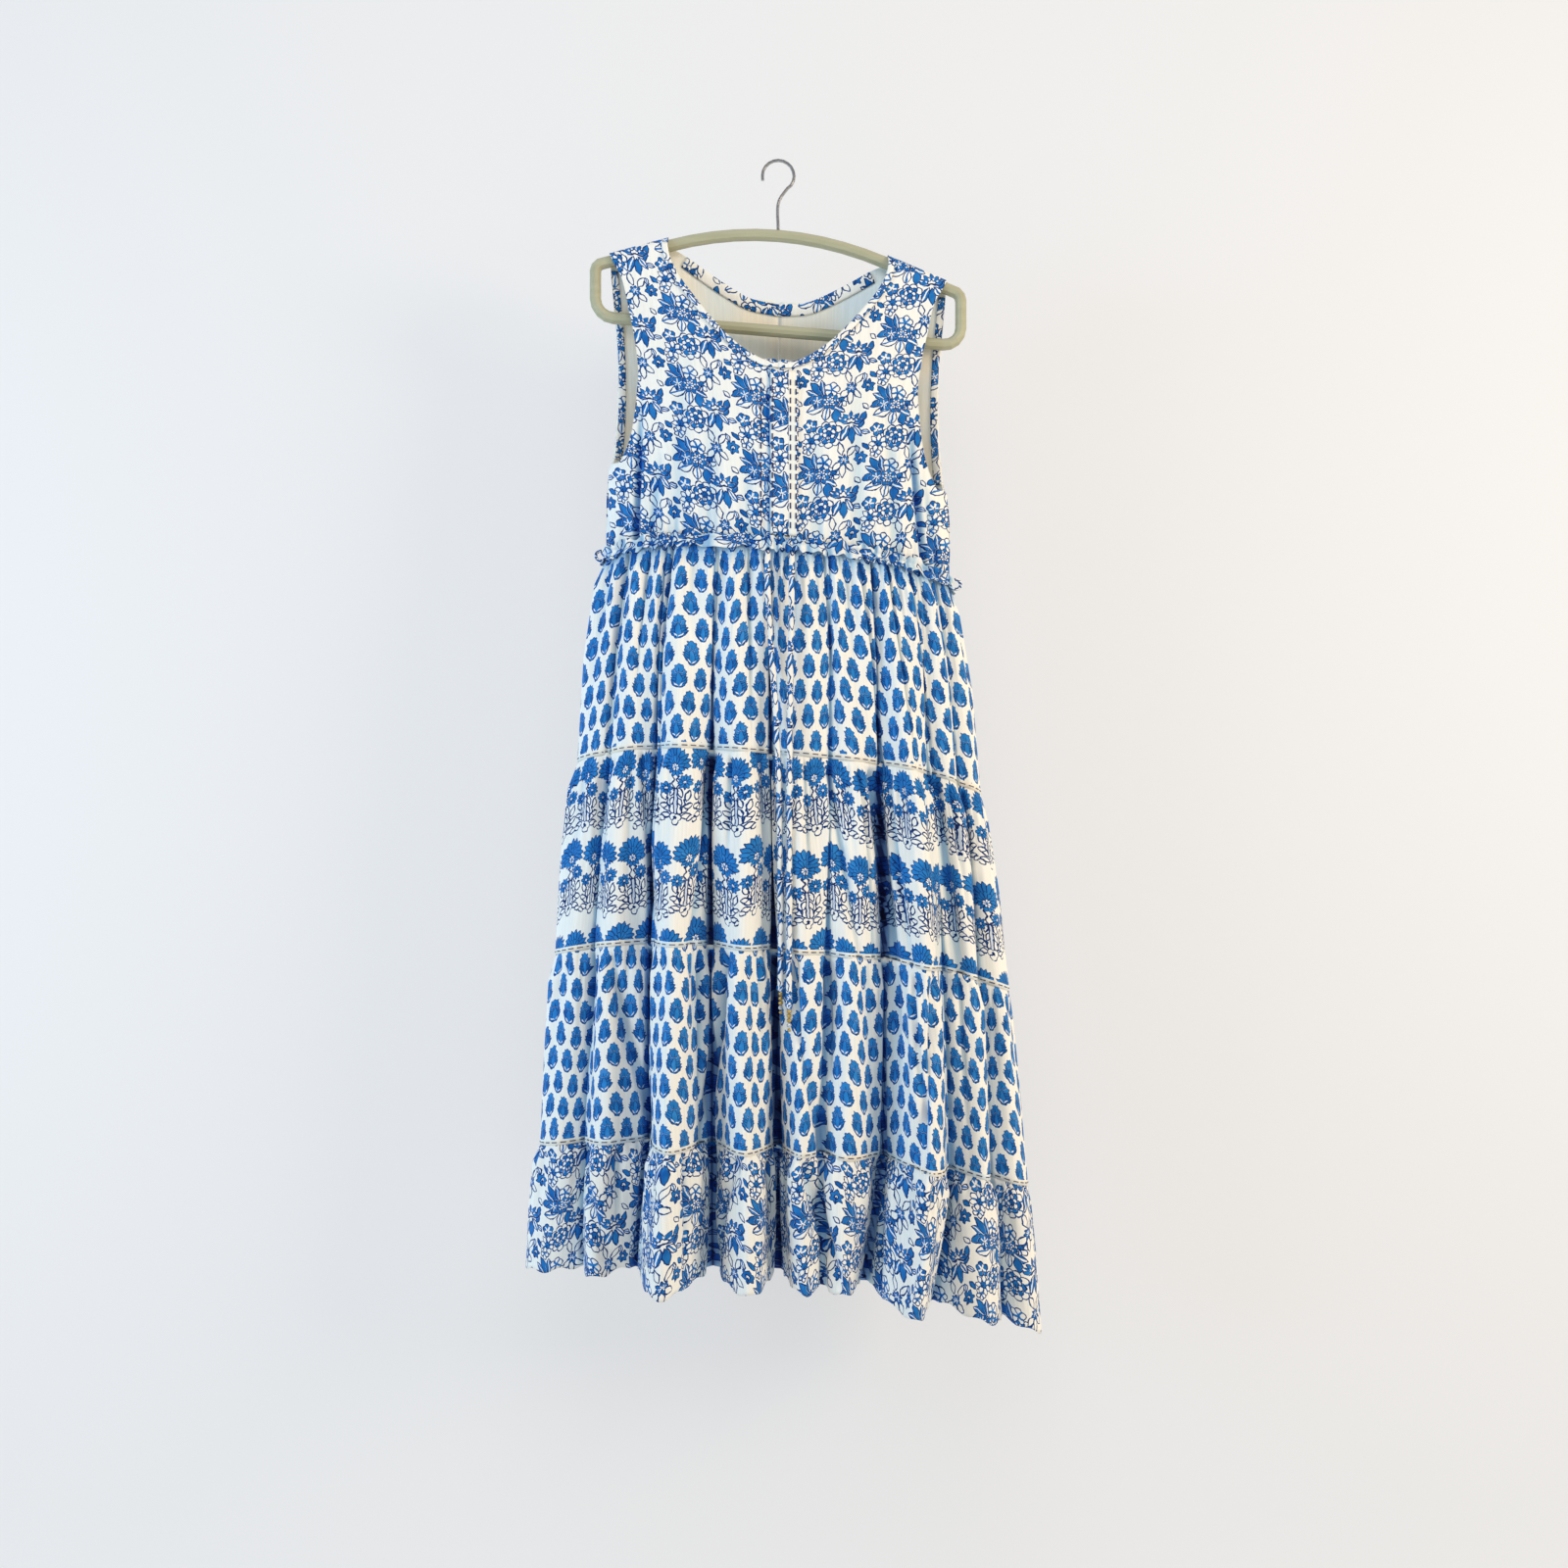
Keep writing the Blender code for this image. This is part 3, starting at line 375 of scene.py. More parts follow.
def printed_voile(name, design, strength):
    """Matt cotton voile. Slubs in its thread give faint streaks, and the thin cloth keeps a soft
    crinkle from washing. Its dobby dots are 1.2 mm apart, drawn 2.4 mm apart so that they show.
    The print shows through on the reverse, paler."""
    material, tree, shader = new_material(name, {
        "Roughness": 0.88, "Specular IOR Level": 0.15, "Sheen Weight": 0.06,
        "Sheen Roughness": 0.5})
    place = add(tree, "UVMap", uv_map="flat_cut")
    place = add(tree, "VectorMath MULTIPLY", place, (MM, MM, 0.0))
    dobby = add(tree, "VectorMath MULTIPLY", place, (DOBBY_TURN, DOBBY_TURN, 0.0))
    dobby = add(tree, "VectorMath SINE", dobby)
    dobby = add(tree, "SeparateXYZ", dobby).node.outputs
    dobby = add(tree, "Math MULTIPLY", dobby[0], dobby[1])
    slub = add(tree, "VectorMath MULTIPLY", place, (0.45, 0.02, 0.0))
    slub = add(tree, "TexNoise", {"Vector": slub, "Scale": 1.0, "Detail": 3.0},
               noise_dimensions="2D")
    cloth = add(tree, "MapRange",
                {"Value": slub, "From Min": 0.25, "From Max": 0.75, "To Min": 0.94, "To Max": 1.03})
    cloth = add(tree, "Math MULTIPLY_ADD", dobby, DOBBY_SHADE, cloth)
    if design:
        base = add(tree, "Group", {"Place": place}, node_tree=PRINTS[design])
        base = add(tree, "Mix", {0: strength, 6: linear(CLOTH_CREAM), 7: base},
                   data_type="RGBA").node.outputs[2]
    else:
        # Painted light: soft warm and cool patches stand for the light from behind through the
        # voile.
        base = add(tree, "VectorMath MULTIPLY", place, (0.011, 0.010, 0.0))
        base = add(tree, "TexNoise", {"Vector": base, "Scale": 1.0, "Detail": 3.0},
                   noise_dimensions="2D")
        base = add(tree, "ValToRGB", base)
        for stop, at, tint in zip(base.node.color_ramp.elements, (0.30, 0.70),
                                  ("#E6EEEC", "#FBF0DA")):
            stop.position, stop.color = at, linear(tint)
    # Painted shade: where the voile lies in a fold its colour is tinted bluer, and in the bottom of
    # a deep fold almost navy, to stand for the shade there.
    folded = add(tree, "Attribute", attribute_name="painted_shade_layer").node.outputs["Fac"]
    layers = add(tree, "ValToRGB", folded)
    layers.node.color_ramp.elements[0].color = linear("#FFFFFF")
    layers.node.color_ramp.elements[1].color = linear("#1D2F63")
    for at, tint in ((0.32, "#CBE3F6"), (0.64, "#93BEE8"), (0.86, "#6690CE")):
        layers.node.color_ramp.elements.new(at).color = linear(tint)
    base = add(tree, "VectorMath MULTIPLY", base, layers)
    base = add(tree, "VectorMath SCALE", {0: base, "Scale": cloth})
    tree.links.new(base, shader.inputs["Base Color"])
    crinkle = add(tree, "VectorMath MULTIPLY", place, (0.16, 0.012, 0.0))
    crinkle = add(tree, "TexNoise", {"Vector": crinkle, "Scale": 1.0, "Detail": 4.0},
                  noise_dimensions="2D")
    height = add(tree, "Math MULTIPLY_ADD", dobby, DOBBY_HEIGHT, crinkle)
    bump = add(tree, "Bump",
               {"Height": height, "Strength": 0.5 if design else 0.2, "Distance": 0.0012})
    tree.links.new(bump, shader.inputs["Normal"])
    return material


CLOTHS = {"plain": printed_voile("plain_voile", None, 0.0)}
for design in PRINTS:
    CLOTHS[design] = printed_voile(f"{design}_voile", design, 1.0)
    CLOTHS[f"{design}_reverse"] = printed_voile(f"{design}_voile_reverse", design,
                                                REVERSE_STRENGTH)

# Bodice
# Sleeveless and cut from the floral voile: a front and a back, each in two halves that meet at the
# centre, joined over the shoulders and down the sides. It hangs over the hanger's arms, so it
# falls nearly flat, with a soft tuck down each side and small gathers over the under-bust seam.
CLOTH = 0.0012
SEAM_GAP = 0.0003
TRIM_GAP = 0.0008
LEAN = 0.0805
SLOPE_STEP = 1e-6
NECK_POINT_X, NECK_POINT_Z = 0.123, -0.095
TIP_X, TIP_Z = 0.189, -0.118
SHOULDER_SLOPE = (NECK_POINT_Z - TIP_Z) / (TIP_X - NECK_POINT_X)
SHOULDER_ROUND = 0.0095
HALF_WIDTH_AT_Z = [(-0.438, 0.1925), (-0.366, 0.1900), (-0.280, 0.2040), (-0.100, 0.2120)]
FULLNESS = {-1: 0.058, 1: 0.052}
FULL_BELOW_SHOULDER = 0.26
ROUND_FADES_FROM, ROUND_FADES_OVER = 0.06, 0.17
DROOP_POWER = 3.5
DROOP_FADES_AT_Z = -0.366
SIDE_GAP_FADES_OVER = 0.2
WAIST_Z, WAIST_HALF, WAIST_DROOP = -0.438, 0.1925, 0.022
VOILE = 0.0006
# The painted shadow down the slit beside the placket: its x, the height it starts below, its wander
# and its breadth. Then the crease depth at which the creases' painted shade is full.
SLIT_SHADOW_X, SLIT_SHADOW_TOP_Z, SLIT_SHADOW_WANDER, SLIT_SHADOW_BREADTH = -0.0105, -0.25, 0.0012, 0.0013
CREASE_SHADE_DEPTH = 0.007
TRIM_LINES, TRIM_ROLL = 7, 0.0006

BodiceRow = namedtuple("BodiceRow", "inner_x inner_z outer_x outer_z")
FRONT_ROWS = [BodiceRow(*row) for row in (
    (0.0000, -0.4376, 0.1925, -0.4376), (0.0000, -0.3900, 0.1900, -0.3660),
    (0.0000, -0.3600, 0.1740, -0.3550), (0.0000, -0.3280, 0.1630, -0.3320),
    (0.0000, -0.2900, 0.1570, -0.3010), (0.0000, -0.2375, 0.1536, -0.2585),
    (0.0170, -0.2355, 0.1540, -0.2490), (0.0370, -0.2245, 0.1550, -0.2390),
    (0.0560, -0.2085, 0.1570, -0.2260), (0.0740, -0.1890, 0.1600, -0.2080),
    (0.0937, -0.1640, 0.1650, -0.1860), (0.1090, -0.1430, 0.1690, -0.1660),
    (0.1190, -0.1240, 0.1750, -0.1450), (0.1225, -0.1110, 0.1820, -0.1330),
    (0.1230, -0.1045, 0.1855, -0.1265), (0.1230, -0.0990, 0.1880, -0.1217),
    (0.1230, -0.0962, 0.1888, -0.1192), (0.1230, -0.0950, 0.1890, -0.1180))]
BACK_ROWS = [BodiceRow(*row) for row in (
    (0.0000, -0.4376, 0.1925, -0.4376), (0.0000, -0.3900, 0.1900, -0.3660),
    (0.0000, -0.3400, 0.1865, -0.3450), (0.0000, -0.2950, 0.1830, -0.3050),
    (0.0000, -0.2450, 0.1815, -0.2580), (0.0000, -0.1950, 0.1826, -0.2100),
    (0.0000, -0.1530, 0.1855, -0.1720), (0.0300, -0.1495, 0.1865, -0.1600),
    (0.0500, -0.1415, 0.1870, -0.1520), (0.0760, -0.1280, 0.1880, -0.1440),
    (0.1030, -0.1120, 0.1885, -0.1350), (0.1180, -0.1045, 0.1888, -0.1265),
    (0.1225, -0.0990, 0.1889, -0.1218), (0.1230, -0.0962, 0.1890, -0.1192),
    (0.1230, -0.0950, 0.1890, -0.1180))]

# Soft creases of the bodice: x at the shoulder end and at the under-bust seam, the heights they
# run between, how deep they are and how wide.
Crease = namedtuple("Crease", "top_x low_x top_z low_z depth width")
FRONT_CREASES = [Crease(*row) for row in (
    (-0.150, -0.157, -0.270, -0.440, 0.0075, 0.0032),
    (-0.128, -0.140, -0.330, -0.440, 0.0030, 0.0050),
    (-0.100, -0.112, -0.180, -0.440, 0.0016, 0.0090),
    (-0.070, -0.075, -0.250, -0.440, 0.0018, 0.0080),
    (-0.030, -0.034, -0.300, -0.440, 0.0016, 0.0060),
    (0.040, 0.042, -0.260, -0.440, 0.0016, 0.0080), (0.085, 0.088, -0.210, -0.440, 0.0018, 0.0090),
    (0.120, 0.130, -0.240, -0.440, 0.0024, 0.0060), (0.142, 0.160, -0.260, -0.440, 0.0075, 0.0034),
    (0.158, 0.176, -0.330, -0.440, 0.0030, 0.0040))]
BACK_CREASES = [Crease(*row) for row in (
    (-0.140, -0.150, -0.260, -0.440, 0.0050, 0.0060),
    (-0.080, -0.085, -0.180, -0.440, 0.0024, 0.0090),
    (0.060, 0.066, -0.190, -0.440, 0.0026, 0.0090),
    (0.135, 0.148, -0.260, -0.440, 0.0050, 0.0060))]


def smooth_step(share):
    share = np.clip(share, 0.0, 1.0)
    return share * share * (3.0 - 2.0 * share)


def unit(vectors):
    return vectors / np.linalg.norm(vectors, axis=-1, keepdims=True)


def lengths_along(points):
    """How far each of a row of points lies along it."""
    steps = np.linalg.norm(np.diff(points, axis=0), axis=1)
    return np.concatenate([[0.0], np.cumsum(steps)])


def curve_through(points, between):
    """A smooth curve through the points, with more points between them."""
    points = np.array(points)
    ends = np.vstack([2 * points[0] - points[1], points, 2 * points[-1] - points[-2]])
    fine = []
    for a, b, c, d in zip(ends[:-3], ends[1:-2], ends[2:-1], ends[3:]):
        for t in np.linspace(0.0, 1.0, between, endpoint=False):
            fine.append(0.5 * (2 * b + (c - a) * t + (2 * a - 5 * b + 4 * c - d) * t**2
                               + (3 * b - a - 3 * c + d) * t**3))
    return np.array([*fine, points[-1]])


def leaned(points):
    """The points as they hang: everything towards +X lies lower."""
    points = points.copy()
    points[..., 2] -= LEAN * points[..., 0]
    return points


def cloth_grid(points, flat, painted_shade=None):
    """A grid through the points, rows by columns, with its flat cut as a UV map in metres. The last
    argument is the shade painted into the cloth's colour at each point, from 0 to 1, most deep in a
    fold."""
    rows, columns = points.shape[0] - 1, points.shape[1] - 1
    cloth = bmesh.new()
    bmesh.ops.create_grid(cloth, x_segments=columns, y_segments=rows, size=0.5)
    flat_cut = cloth.loops.layers.uv.new("flat_cut")
    painted_shade_layer = cloth.verts.layers.float.new("painted_shade_layer")
    place = {}
    for vertex in cloth.verts:
        place[vertex] = (round((vertex.co.y + 0.5) * rows), round((vertex.co.x + 0.5) * columns))
    for vertex, spot in place.items():
        vertex.co = points[spot]
        vertex[painted_shade_layer] = 0.0 if painted_shade is None else painted_shade[spot]
    for face in cloth.faces:
        face.smooth = True
        for loop in face.loops:
            loop[flat_cut].uv = flat[place[loop.vert]]
    return cloth


def finished(name, work, *materials):
    """The piece made from a bmesh, in its place in the scene."""
    mesh = bpy.data.meshes.new(name)
    work.to_mesh(mesh)
    work.free()
    for material in materials:
        mesh.materials.append(material)
    piece = bpy.data.objects.new(name, mesh)
    scene.collection.objects.link(piece)
    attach(piece, "root")
    return piece


def cloth_piece(name, points, flat, design, facing, painted_shade=None):
    """A panel of voile. facing is a way out of the dress, which its outer face is turned to."""
    cloth = cloth_grid(leaned(points), flat, painted_shade)
    cloth.normal_update()
    if sum((f.normal.dot(facing) for f in cloth.faces), 0.0) < 0.0:
        bmesh.ops.reverse_faces(cloth, faces=cloth.faces[:])
    reverse = "plain" if design == "plain" else f"{design}_reverse"
    piece = finished(name, cloth, CLOTHS[design], CLOTHS[reverse])
    shell = piece.modifiers.new("cloth thickness", "SOLIDIFY")
    shell.thickness = VOILE
    shell.offset = -1.0
    shell.material_offset = 1
    return piece


def shoulder_z(x):
    """Height of the shoulder line on the outside of the cloth, and of the rounded run between."""
    inside = NECK_POINT_X - np.abs(x)
    rise = inside * SHOULDER_SLOPE
    rounded = rise * (1.0 - inside / (2.0 * NECK_POINT_X))
    return NECK_POINT_Z + np.where(inside > 0.0, rounded, rise)


def bodice_depth(x, z, fullness):
    """How far the outside of the cloth stands from the hanger's plane at x, z."""
    below = np.maximum(shoulder_z(x) - z, 0.0)
    over_tube = np.minimum(below, SHOULDER_ROUND)
    rounded = np.sqrt(SHOULDER_ROUND**2 - (SHOULDER_ROUND - over_tube) ** 2)
    rounded *= 1.0 - smooth_step((below - ROUND_FADES_FROM) / ROUND_FADES_OVER)
    hung = fullness * smooth_step(below / FULL_BELOW_SHOULDER)
    half_width = np.interp(z, *zip(*HALF_WIDTH_AT_Z))
    return rounded + hung * np.sqrt(1.0 - np.clip(np.abs(x / half_width), 0.0, 1.0) ** 2)


def bodice_creases(x, z, side):
    """How far the creases draw the cloth in."""
    pulled = np.zeros_like(x)
    for crease in FRONT_CREASES if side < 0 else BACK_CREASES:
        down = np.clip((crease.top_z - z) / (crease.top_z - crease.low_z), 0.0, 1.0)
        middle = crease.top_x + (crease.low_x - crease.top_x) * down
        near = np.exp(-(((x - middle) / crease.width) ** 2))
        pulled += crease.depth * smooth_step(down * 1.6) * near
    # The under-bust seam draws the voile into small gathers that die out 40 mm above it.
    ruck = smooth_step((-0.385 - z) / 0.05)
    waves = 0.6 * np.sin(x * 720.0) + 0.4 * np.sin(x * 431.0 + 1.0)
    return pulled + 0.0011 * ruck * waves


def bodice_points(x, z, side, inward):
    """Points of the bodice's cloth, side -1 for the front and +1 for the back, moved inward."""
    fullness = FULLNESS[side]
    depth = bodice_depth(x, z, fullness)
    towards_middle = -np.where(x < 0, -1.0, 1.0) * SLOPE_STEP
    slope_x = (bodice_depth(x + towards_middle, z, fullness) - depth) / towards_middle
    slope_z = (bodice_depth(x, z - SLOPE_STEP, fullness) - depth) / -SLOPE_STEP
    normal = unit(np.stack([-slope_x, np.full_like(x, side), -slope_z], axis=-1))
    points = np.stack([x, side * depth, z], axis=-1)
    return points - (inward + bodice_creases(x, z, side))[..., None] * normal


def bodice_droop(x, z):
    """The bodice's lower edge hangs lower towards the side seams, as the skirt's does."""
    fade = np.clip((DROOP_FADES_AT_Z - z) / (DROOP_FADES_AT_Z - WAIST_Z), 0.0, 1.0)
    return WAIST_DROOP * np.abs(x / WAIST_HALF) ** DROOP_POWER * fade


# How each half's print lies: a row of blossoms slopes and a column leans, as the halves were cut.
Lay = namedtuple("Lay", "slope lean x z")
FRONT_LAY = {-1: Lay(-0.138, 0.111, -0.102, -0.267), 1: Lay(0.0805, -0.111, 0.051, -0.276)}
BACK_LAY = {-1: Lay(0.0, 0.03, -0.090, -0.260), 1: Lay(0.0, -0.02, 0.060, -0.270)}


def flat_bodice(x, z, lay):
    """Where a point lies on the flat printed cloth, in metres, with a blossom at lay.x, lay.z."""
    across, up = x - lay.x, z - lay.z
    return np.stack([across + lay.lean * up, up - lay.slope * across], axis=-1)


def bodice_half(name, rows, hand, side, inward, design, lay, columns=72, between=6):
    table = curve_through(rows, between)
    table[:, 0] = np.maximum(table[:, 0], 0.0)
    across = np.sin(np.linspace(0.0, math.pi / 2, columns + 1))
    x = table[:, :1] + (table[:, 2:3] - table[:, :1]) * across
    z = table[:, 1:2] + (table[:, 3:4] - table[:, 1:2]) * across
    x[:, 0] += SEAM_GAP / 2 * (table[:, 0] < 1e-6)
    x, z = hand * x, z - bodice_droop(x, z)
    points = bodice_points(x, z, side, inward)
    below_tip = TIP_Z - z[:, -1]
    points[-1, :, 1] += side * SEAM_GAP / 2 * (inward == 0.0)
    points[:, -1, 1] += side * SEAM_GAP * smooth_step(below_tip / SIDE_GAP_FADES_OVER)
    # Painted shade: the cloth's colour darkens and turns bluer along the creases.
    painted_shade = np.clip(bodice_creases(x, z, side) / CREASE_SHADE_DEPTH, 0.0, 0.8)
    if side < 0:
        # The placket's edge shades the slit beside it: a broken dark line painted into the cloth's
        # colour.
        middle = SLIT_SHADOW_X + SLIT_SHADOW_WANDER * np.sin(70.0 * z)
        broken = 0.75 + 0.25 * np.sin(150.0 * z) + 0.25 * np.sin(390.0 * z)
        shade = broken * np.exp(-(((x - middle) / SLIT_SHADOW_BREADTH) ** 2))
        painted_shade = painted_shade + shade * (z < SLIT_SHADOW_TOP_Z)
    painted_shade = np.clip(painted_shade, 0.0, 1.0)
    return cloth_piece(name, points, flat_bodice(x, z, lay), design, (0.0, side, 0.0), painted_shade)


def edge_strip(name, edge, into, width, hand, side, inward, lay):
    """Printed trim along an edge, its width measured into the panel, rolled a little at its rim."""
    across = np.linspace(0.0, width, TRIM_LINES)
    x = hand * (edge[:, :1] + into[:, :1] * across)
    z = edge[:, 1:] + into[:, 1:] * across
    z = z - bodice_droop(x, z)
    roll = TRIM_ROLL * np.sin(np.linspace(0.0, math.pi, TRIM_LINES)) * np.ones_like(x)
    points = bodice_points(x, z, side, inward)
    points[..., 1] += side * roll * (1.0 if inward < 0 else -1.0)
    flat = flat_bodice(x, z, lay) + (0.021, 0.033)
    facing = (0.0, side if inward < 0 else -side, 0.0)
    return cloth_piece(name, points, flat, "floral", facing)


def across_edge(edge, turn):
    """Unit vectors across an edge in the x, z plane."""
    along = unit(np.gradient(edge, axis=0))
    return np.stack([-along[:, 1], along[:, 0]], axis=-1) * turn


def neck_across(neck):
    """Unit vectors from the neckline into its panel, straight down at the centre seam."""
    across = across_edge(neck, -1)
    across[0] = (0.0, -1.0)
    return across


def smooth_route(points, count):
    """Evenly spaced points on a smooth curve through the route's own points."""
    fine = curve_through(points, 20)
    along = lengths_along(fine)
    even = np.linspace(0.0, along[-1], count)
    return np.stack([np.interp(even, along, fine[:, axis]) for axis in range(3)], axis=-1)


def smooth_edge(rows, first, left_out, columns):
    """Even points along a part of an edge, from the table's own columns."""
    table = np.array(rows)[first : len(rows) - left_out, columns]
    flat = np.column_stack([table, np.zeros(len(table))])
    return smooth_route(flat, 8 * len(table))[:, :2]


# The trims: the edge of the panel's table that each follows, its width, and how far it lies
# inside the bodice's outer face, or before it if negative.
Trim = namedtuple("Trim", "node rows first left_out columns side width inward")
BEHIND_LINING = 2 * CLOTH + SEAM_GAP + TRIM_GAP
TRIMS = [
    Trim("neck_binding", FRONT_ROWS, 5, 3, slice(0, 2), -1, 0.007, -(CLOTH + TRIM_GAP)),
    Trim("neck_facing", BACK_ROWS, 6, 4, slice(0, 2), 1, 0.013, BEHIND_LINING),
    Trim("armhole_binding_front", FRONT_ROWS, 2, 4, slice(2, 4), -1, 0.008, CLOTH + TRIM_GAP),
    Trim("armhole_binding_back", BACK_ROWS, 2, 4, slice(2, 4), 1, 0.008, BEHIND_LINING),
]

for word, hand in (("left", -1), ("right", 1)):
    front = bodice_half(f"voile_bodice_front_{word}", FRONT_ROWS, hand, -1, 0.0, "floral",
                        FRONT_LAY[hand], columns=150)
    back = bodice_half(f"voile_bodice_back_{word}", BACK_ROWS, hand, 1, 0.0, "floral",
                       BACK_LAY[hand])
    lining = bodice_half(f"voile_lining_back_{word}", BACK_ROWS[:-3], hand, 1, CLOTH + SEAM_GAP,
                         "plain", BACK_LAY[hand], columns=48)
    made = {}
    for trim in TRIMS:
        edge = smooth_edge(trim.rows, trim.first, trim.left_out, trim.columns)
        into = neck_across(edge) if trim.node.startswith("neck") else across_edge(edge, 1)
        lay = (FRONT_LAY if trim.side < 0 else BACK_LAY)[hand]
        made[trim.node] = edge_strip(f"voile_{trim.node}_{word}", edge, into, trim.width, hand,
                                     trim.side, trim.inward, lay)
    for node, piece in {"bodice_front": front, "bodice_back": back, "lining_back": lining,
                        **made}.items():
        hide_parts(f"{node}_{word}")

# Placket
# A plain strip of the floral voile laid over the centre front slit and held by two rows of navy
# running stitch, with one loose row beside the slit.
PLACKET_LEFT, PLACKET_RIGHT = -0.009, 0.022
PLACKET_TOP_Z, PLACKET_FOOT_Z = -0.2465, -0.4285
BARE_EDGE = (0.0115, 0.0205)
STITCH, STITCH_PITCH, THREAD_HEIGHT = 0.0064, 0.0105, 0.0005
PLACKET_THREAD_LIFT, PLACKET_THREAD_BREADTH = 0.0006, 0.0016


def running_stitch(name, line, normals, facing_lift, breadth):
    """Dashes of sewing thread along a line of points, each a small flattened box, joined."""
    along = lengths_along(line)
    thread = bmesh.new()
    for start in np.arange(0.004, along[-1] - STITCH, STITCH_PITCH):
        made = bmesh.ops.create_cube(thread, size=1.0)
        ends = [np.array([np.interp(s, along, line[:, axis]) for axis in range(3)])
                for s in (start, start + STITCH)]
        normal = np.array([np.interp(start + STITCH / 2, along, normals[:, axis])
                           for axis in range(3)])
        forward = unit(ends[1] - ends[0])
        normal = unit(normal - forward * normal.dot(forward))
        side = np.cross(forward, normal)
        middle = (ends[0] + ends[1]) / 2 + normal * facing_lift
        for vertex in made["verts"]:
            x, y, z = vertex.co
            vertex.co = (middle + forward * x * STITCH + side * y * breadth
                         + normal * z * THREAD_HEIGHT)
    bmesh.ops.recalc_face_normals(thread, faces=thread.faces[:])
    return finished(name, thread, navy_thread)


def two_tones(tree, shader, pattern, low, high, dull=()):
    """A colour that goes from low to high with the pattern, and the dullness with it."""
    tone = add(tree, "ValToRGB", pattern)
    for stop, colour in zip(tone.node.color_ramp.elements, (low, high)):
        stop.color = linear(colour)
    tree.links.new(tone, shader.inputs["Base Color"])
    if dull:
        dull = add(tree, "MapRange", {"Value": pattern, "To Min": dull[0], "To Max": dull[1]})
        tree.links.new(dull, shader.inputs["Roughness"])


# The thread's two plies, 0.5 mm a turn, show as a fine light and dark slant.
navy_thread, tree, shader = new_material("navy_cotton_thread", {"Roughness": 0.7})
place = add(tree, "TexCoord").node.outputs["Object"]
ply = add(tree, "TexWave", {"Vector": place, "Scale": 600.0}, bands_direction="DIAGONAL")
two_tones(tree, shader, ply, "#141D45", "#26346B")

x, z = np.meshgrid(np.linspace(PLACKET_LEFT, PLACKET_RIGHT, 37),
                   np.linspace(PLACKET_FOOT_Z, PLACKET_TOP_Z, 61))
points = bodice_points(x, z, -1, -(CLOTH + TRIM_GAP))
points[..., 1] -= 0.0004 * np.sin((x - PLACKET_LEFT) / (PLACKET_RIGHT - PLACKET_LEFT) * math.pi)
# Painted shadow: a dark line in the cloth's colour along the strip's left edge.
painted_shade = 0.85 * np.exp(-(((x - PLACKET_LEFT) / 0.0012) ** 2))
placket = cloth_piece("voile_placket", points, flat_bodice(x, z, Lay(0.0, 0.0, 0.012, -0.30)),
                      "floral", (0.0, -1.0, 0.0), painted_shade)
# The strip's folded edge, between its two rows of stitches, is bare cloth.
placket.data.materials.append(CLOTHS["plain"])
for face in placket.data.polygons:
    if BARE_EDGE[0] < face.center.x < BARE_EDGE[1]:
        face.material_index = 2
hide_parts("placket")
# The rows of stitches: where each runs, and how far it lies before the bodice's outer face.
STITCH_ROWS = [(-0.006, CLOTH + TRIM_GAP), (0.0135, CLOTH + TRIM_GAP),
               (0.0195, CLOTH + TRIM_GAP), (-0.0185, 0.0)]
for number, (at_x, off) in enumerate(STITCH_ROWS):
    z = np.linspace(PLACKET_FOOT_Z + 0.004, PLACKET_TOP_Z - 0.006, 40)
    line = leaned(bodice_points(np.full_like(z, at_x), z, -1, -off))
    row = running_stitch(f"placket_stitches_{number}", line, np.tile((0.0, -1.0, 0.0), (40, 1)),
                         PLACKET_THREAD_LIFT, PLACKET_THREAD_BREADTH)

# Skirt
# Four tiers of voile, each a front and a back gathered on to the one above with navy running
# stitch: small sprigs, tall plants, small sprigs, floral. The cloth falls in large soft folds, and
# each tier's gathers are deepest just below its seam and die out on the way down.
GATHER_DEPTH = 0.0042
HEM_FLARE_DROP = 0.12
CREST_BREADTH = 0.8
END_ANGLE = 0.004
LOW_LEVEL = 3

Level = namedtuple("Level", "z left right front back droop_left droop_right folds")
LEVELS = [
    Level(-0.438, 0.1925, 0.1925, 0.058, 0.052, 0.022, 0.022, 0.00),
    Level(-0.666, 0.2240, 0.2270, 0.072, 0.064, 0.026, 0.026, 0.30),
    Level(-0.878, 0.2480, 0.2580, 0.080, 0.072, 0.031, 0.031, 0.58),
    Level(-1.093, 0.2640, 0.2780, 0.086, 0.080, 0.028, 0.030, 0.82),
    Level(-1.236, 0.2790, 0.2920, 0.090, 0.086, 0.020, 0.048, 1.00),
]

Fold = namedtuple("Fold", "top low hem out")
FRONT_FOLDS = [Fold(*row) for row in (
    (-1.000, -1.000, -1.000, 0.002), (-0.930, -0.920, -0.930, 0.008),
    (-0.840, -0.830, -0.790, -0.014), (-0.740, -0.700, -0.700, 0.010),
    (-0.630, -0.560, -0.580, -0.026), (-0.490, -0.420, -0.420, 0.044),
    (-0.350, -0.280, -0.265, -0.034), (-0.200, -0.130, -0.107, 0.018),
    (-0.053, 0.000, 0.003, -0.048), (0.130, 0.085, 0.095, 0.004), (0.290, 0.170, 0.170, -0.018),
    (0.400, 0.260, 0.235, 0.002), (0.530, 0.430, 0.335, -0.040), (0.650, 0.560, 0.460, 0.042),
    (0.750, 0.690, 0.590, -0.014), (0.830, 0.780, 0.745, 0.020), (0.900, 0.860, 0.875, -0.014),
    (0.950, 0.930, 0.945, 0.008), (1.000, 1.000, 1.000, 0.002))]
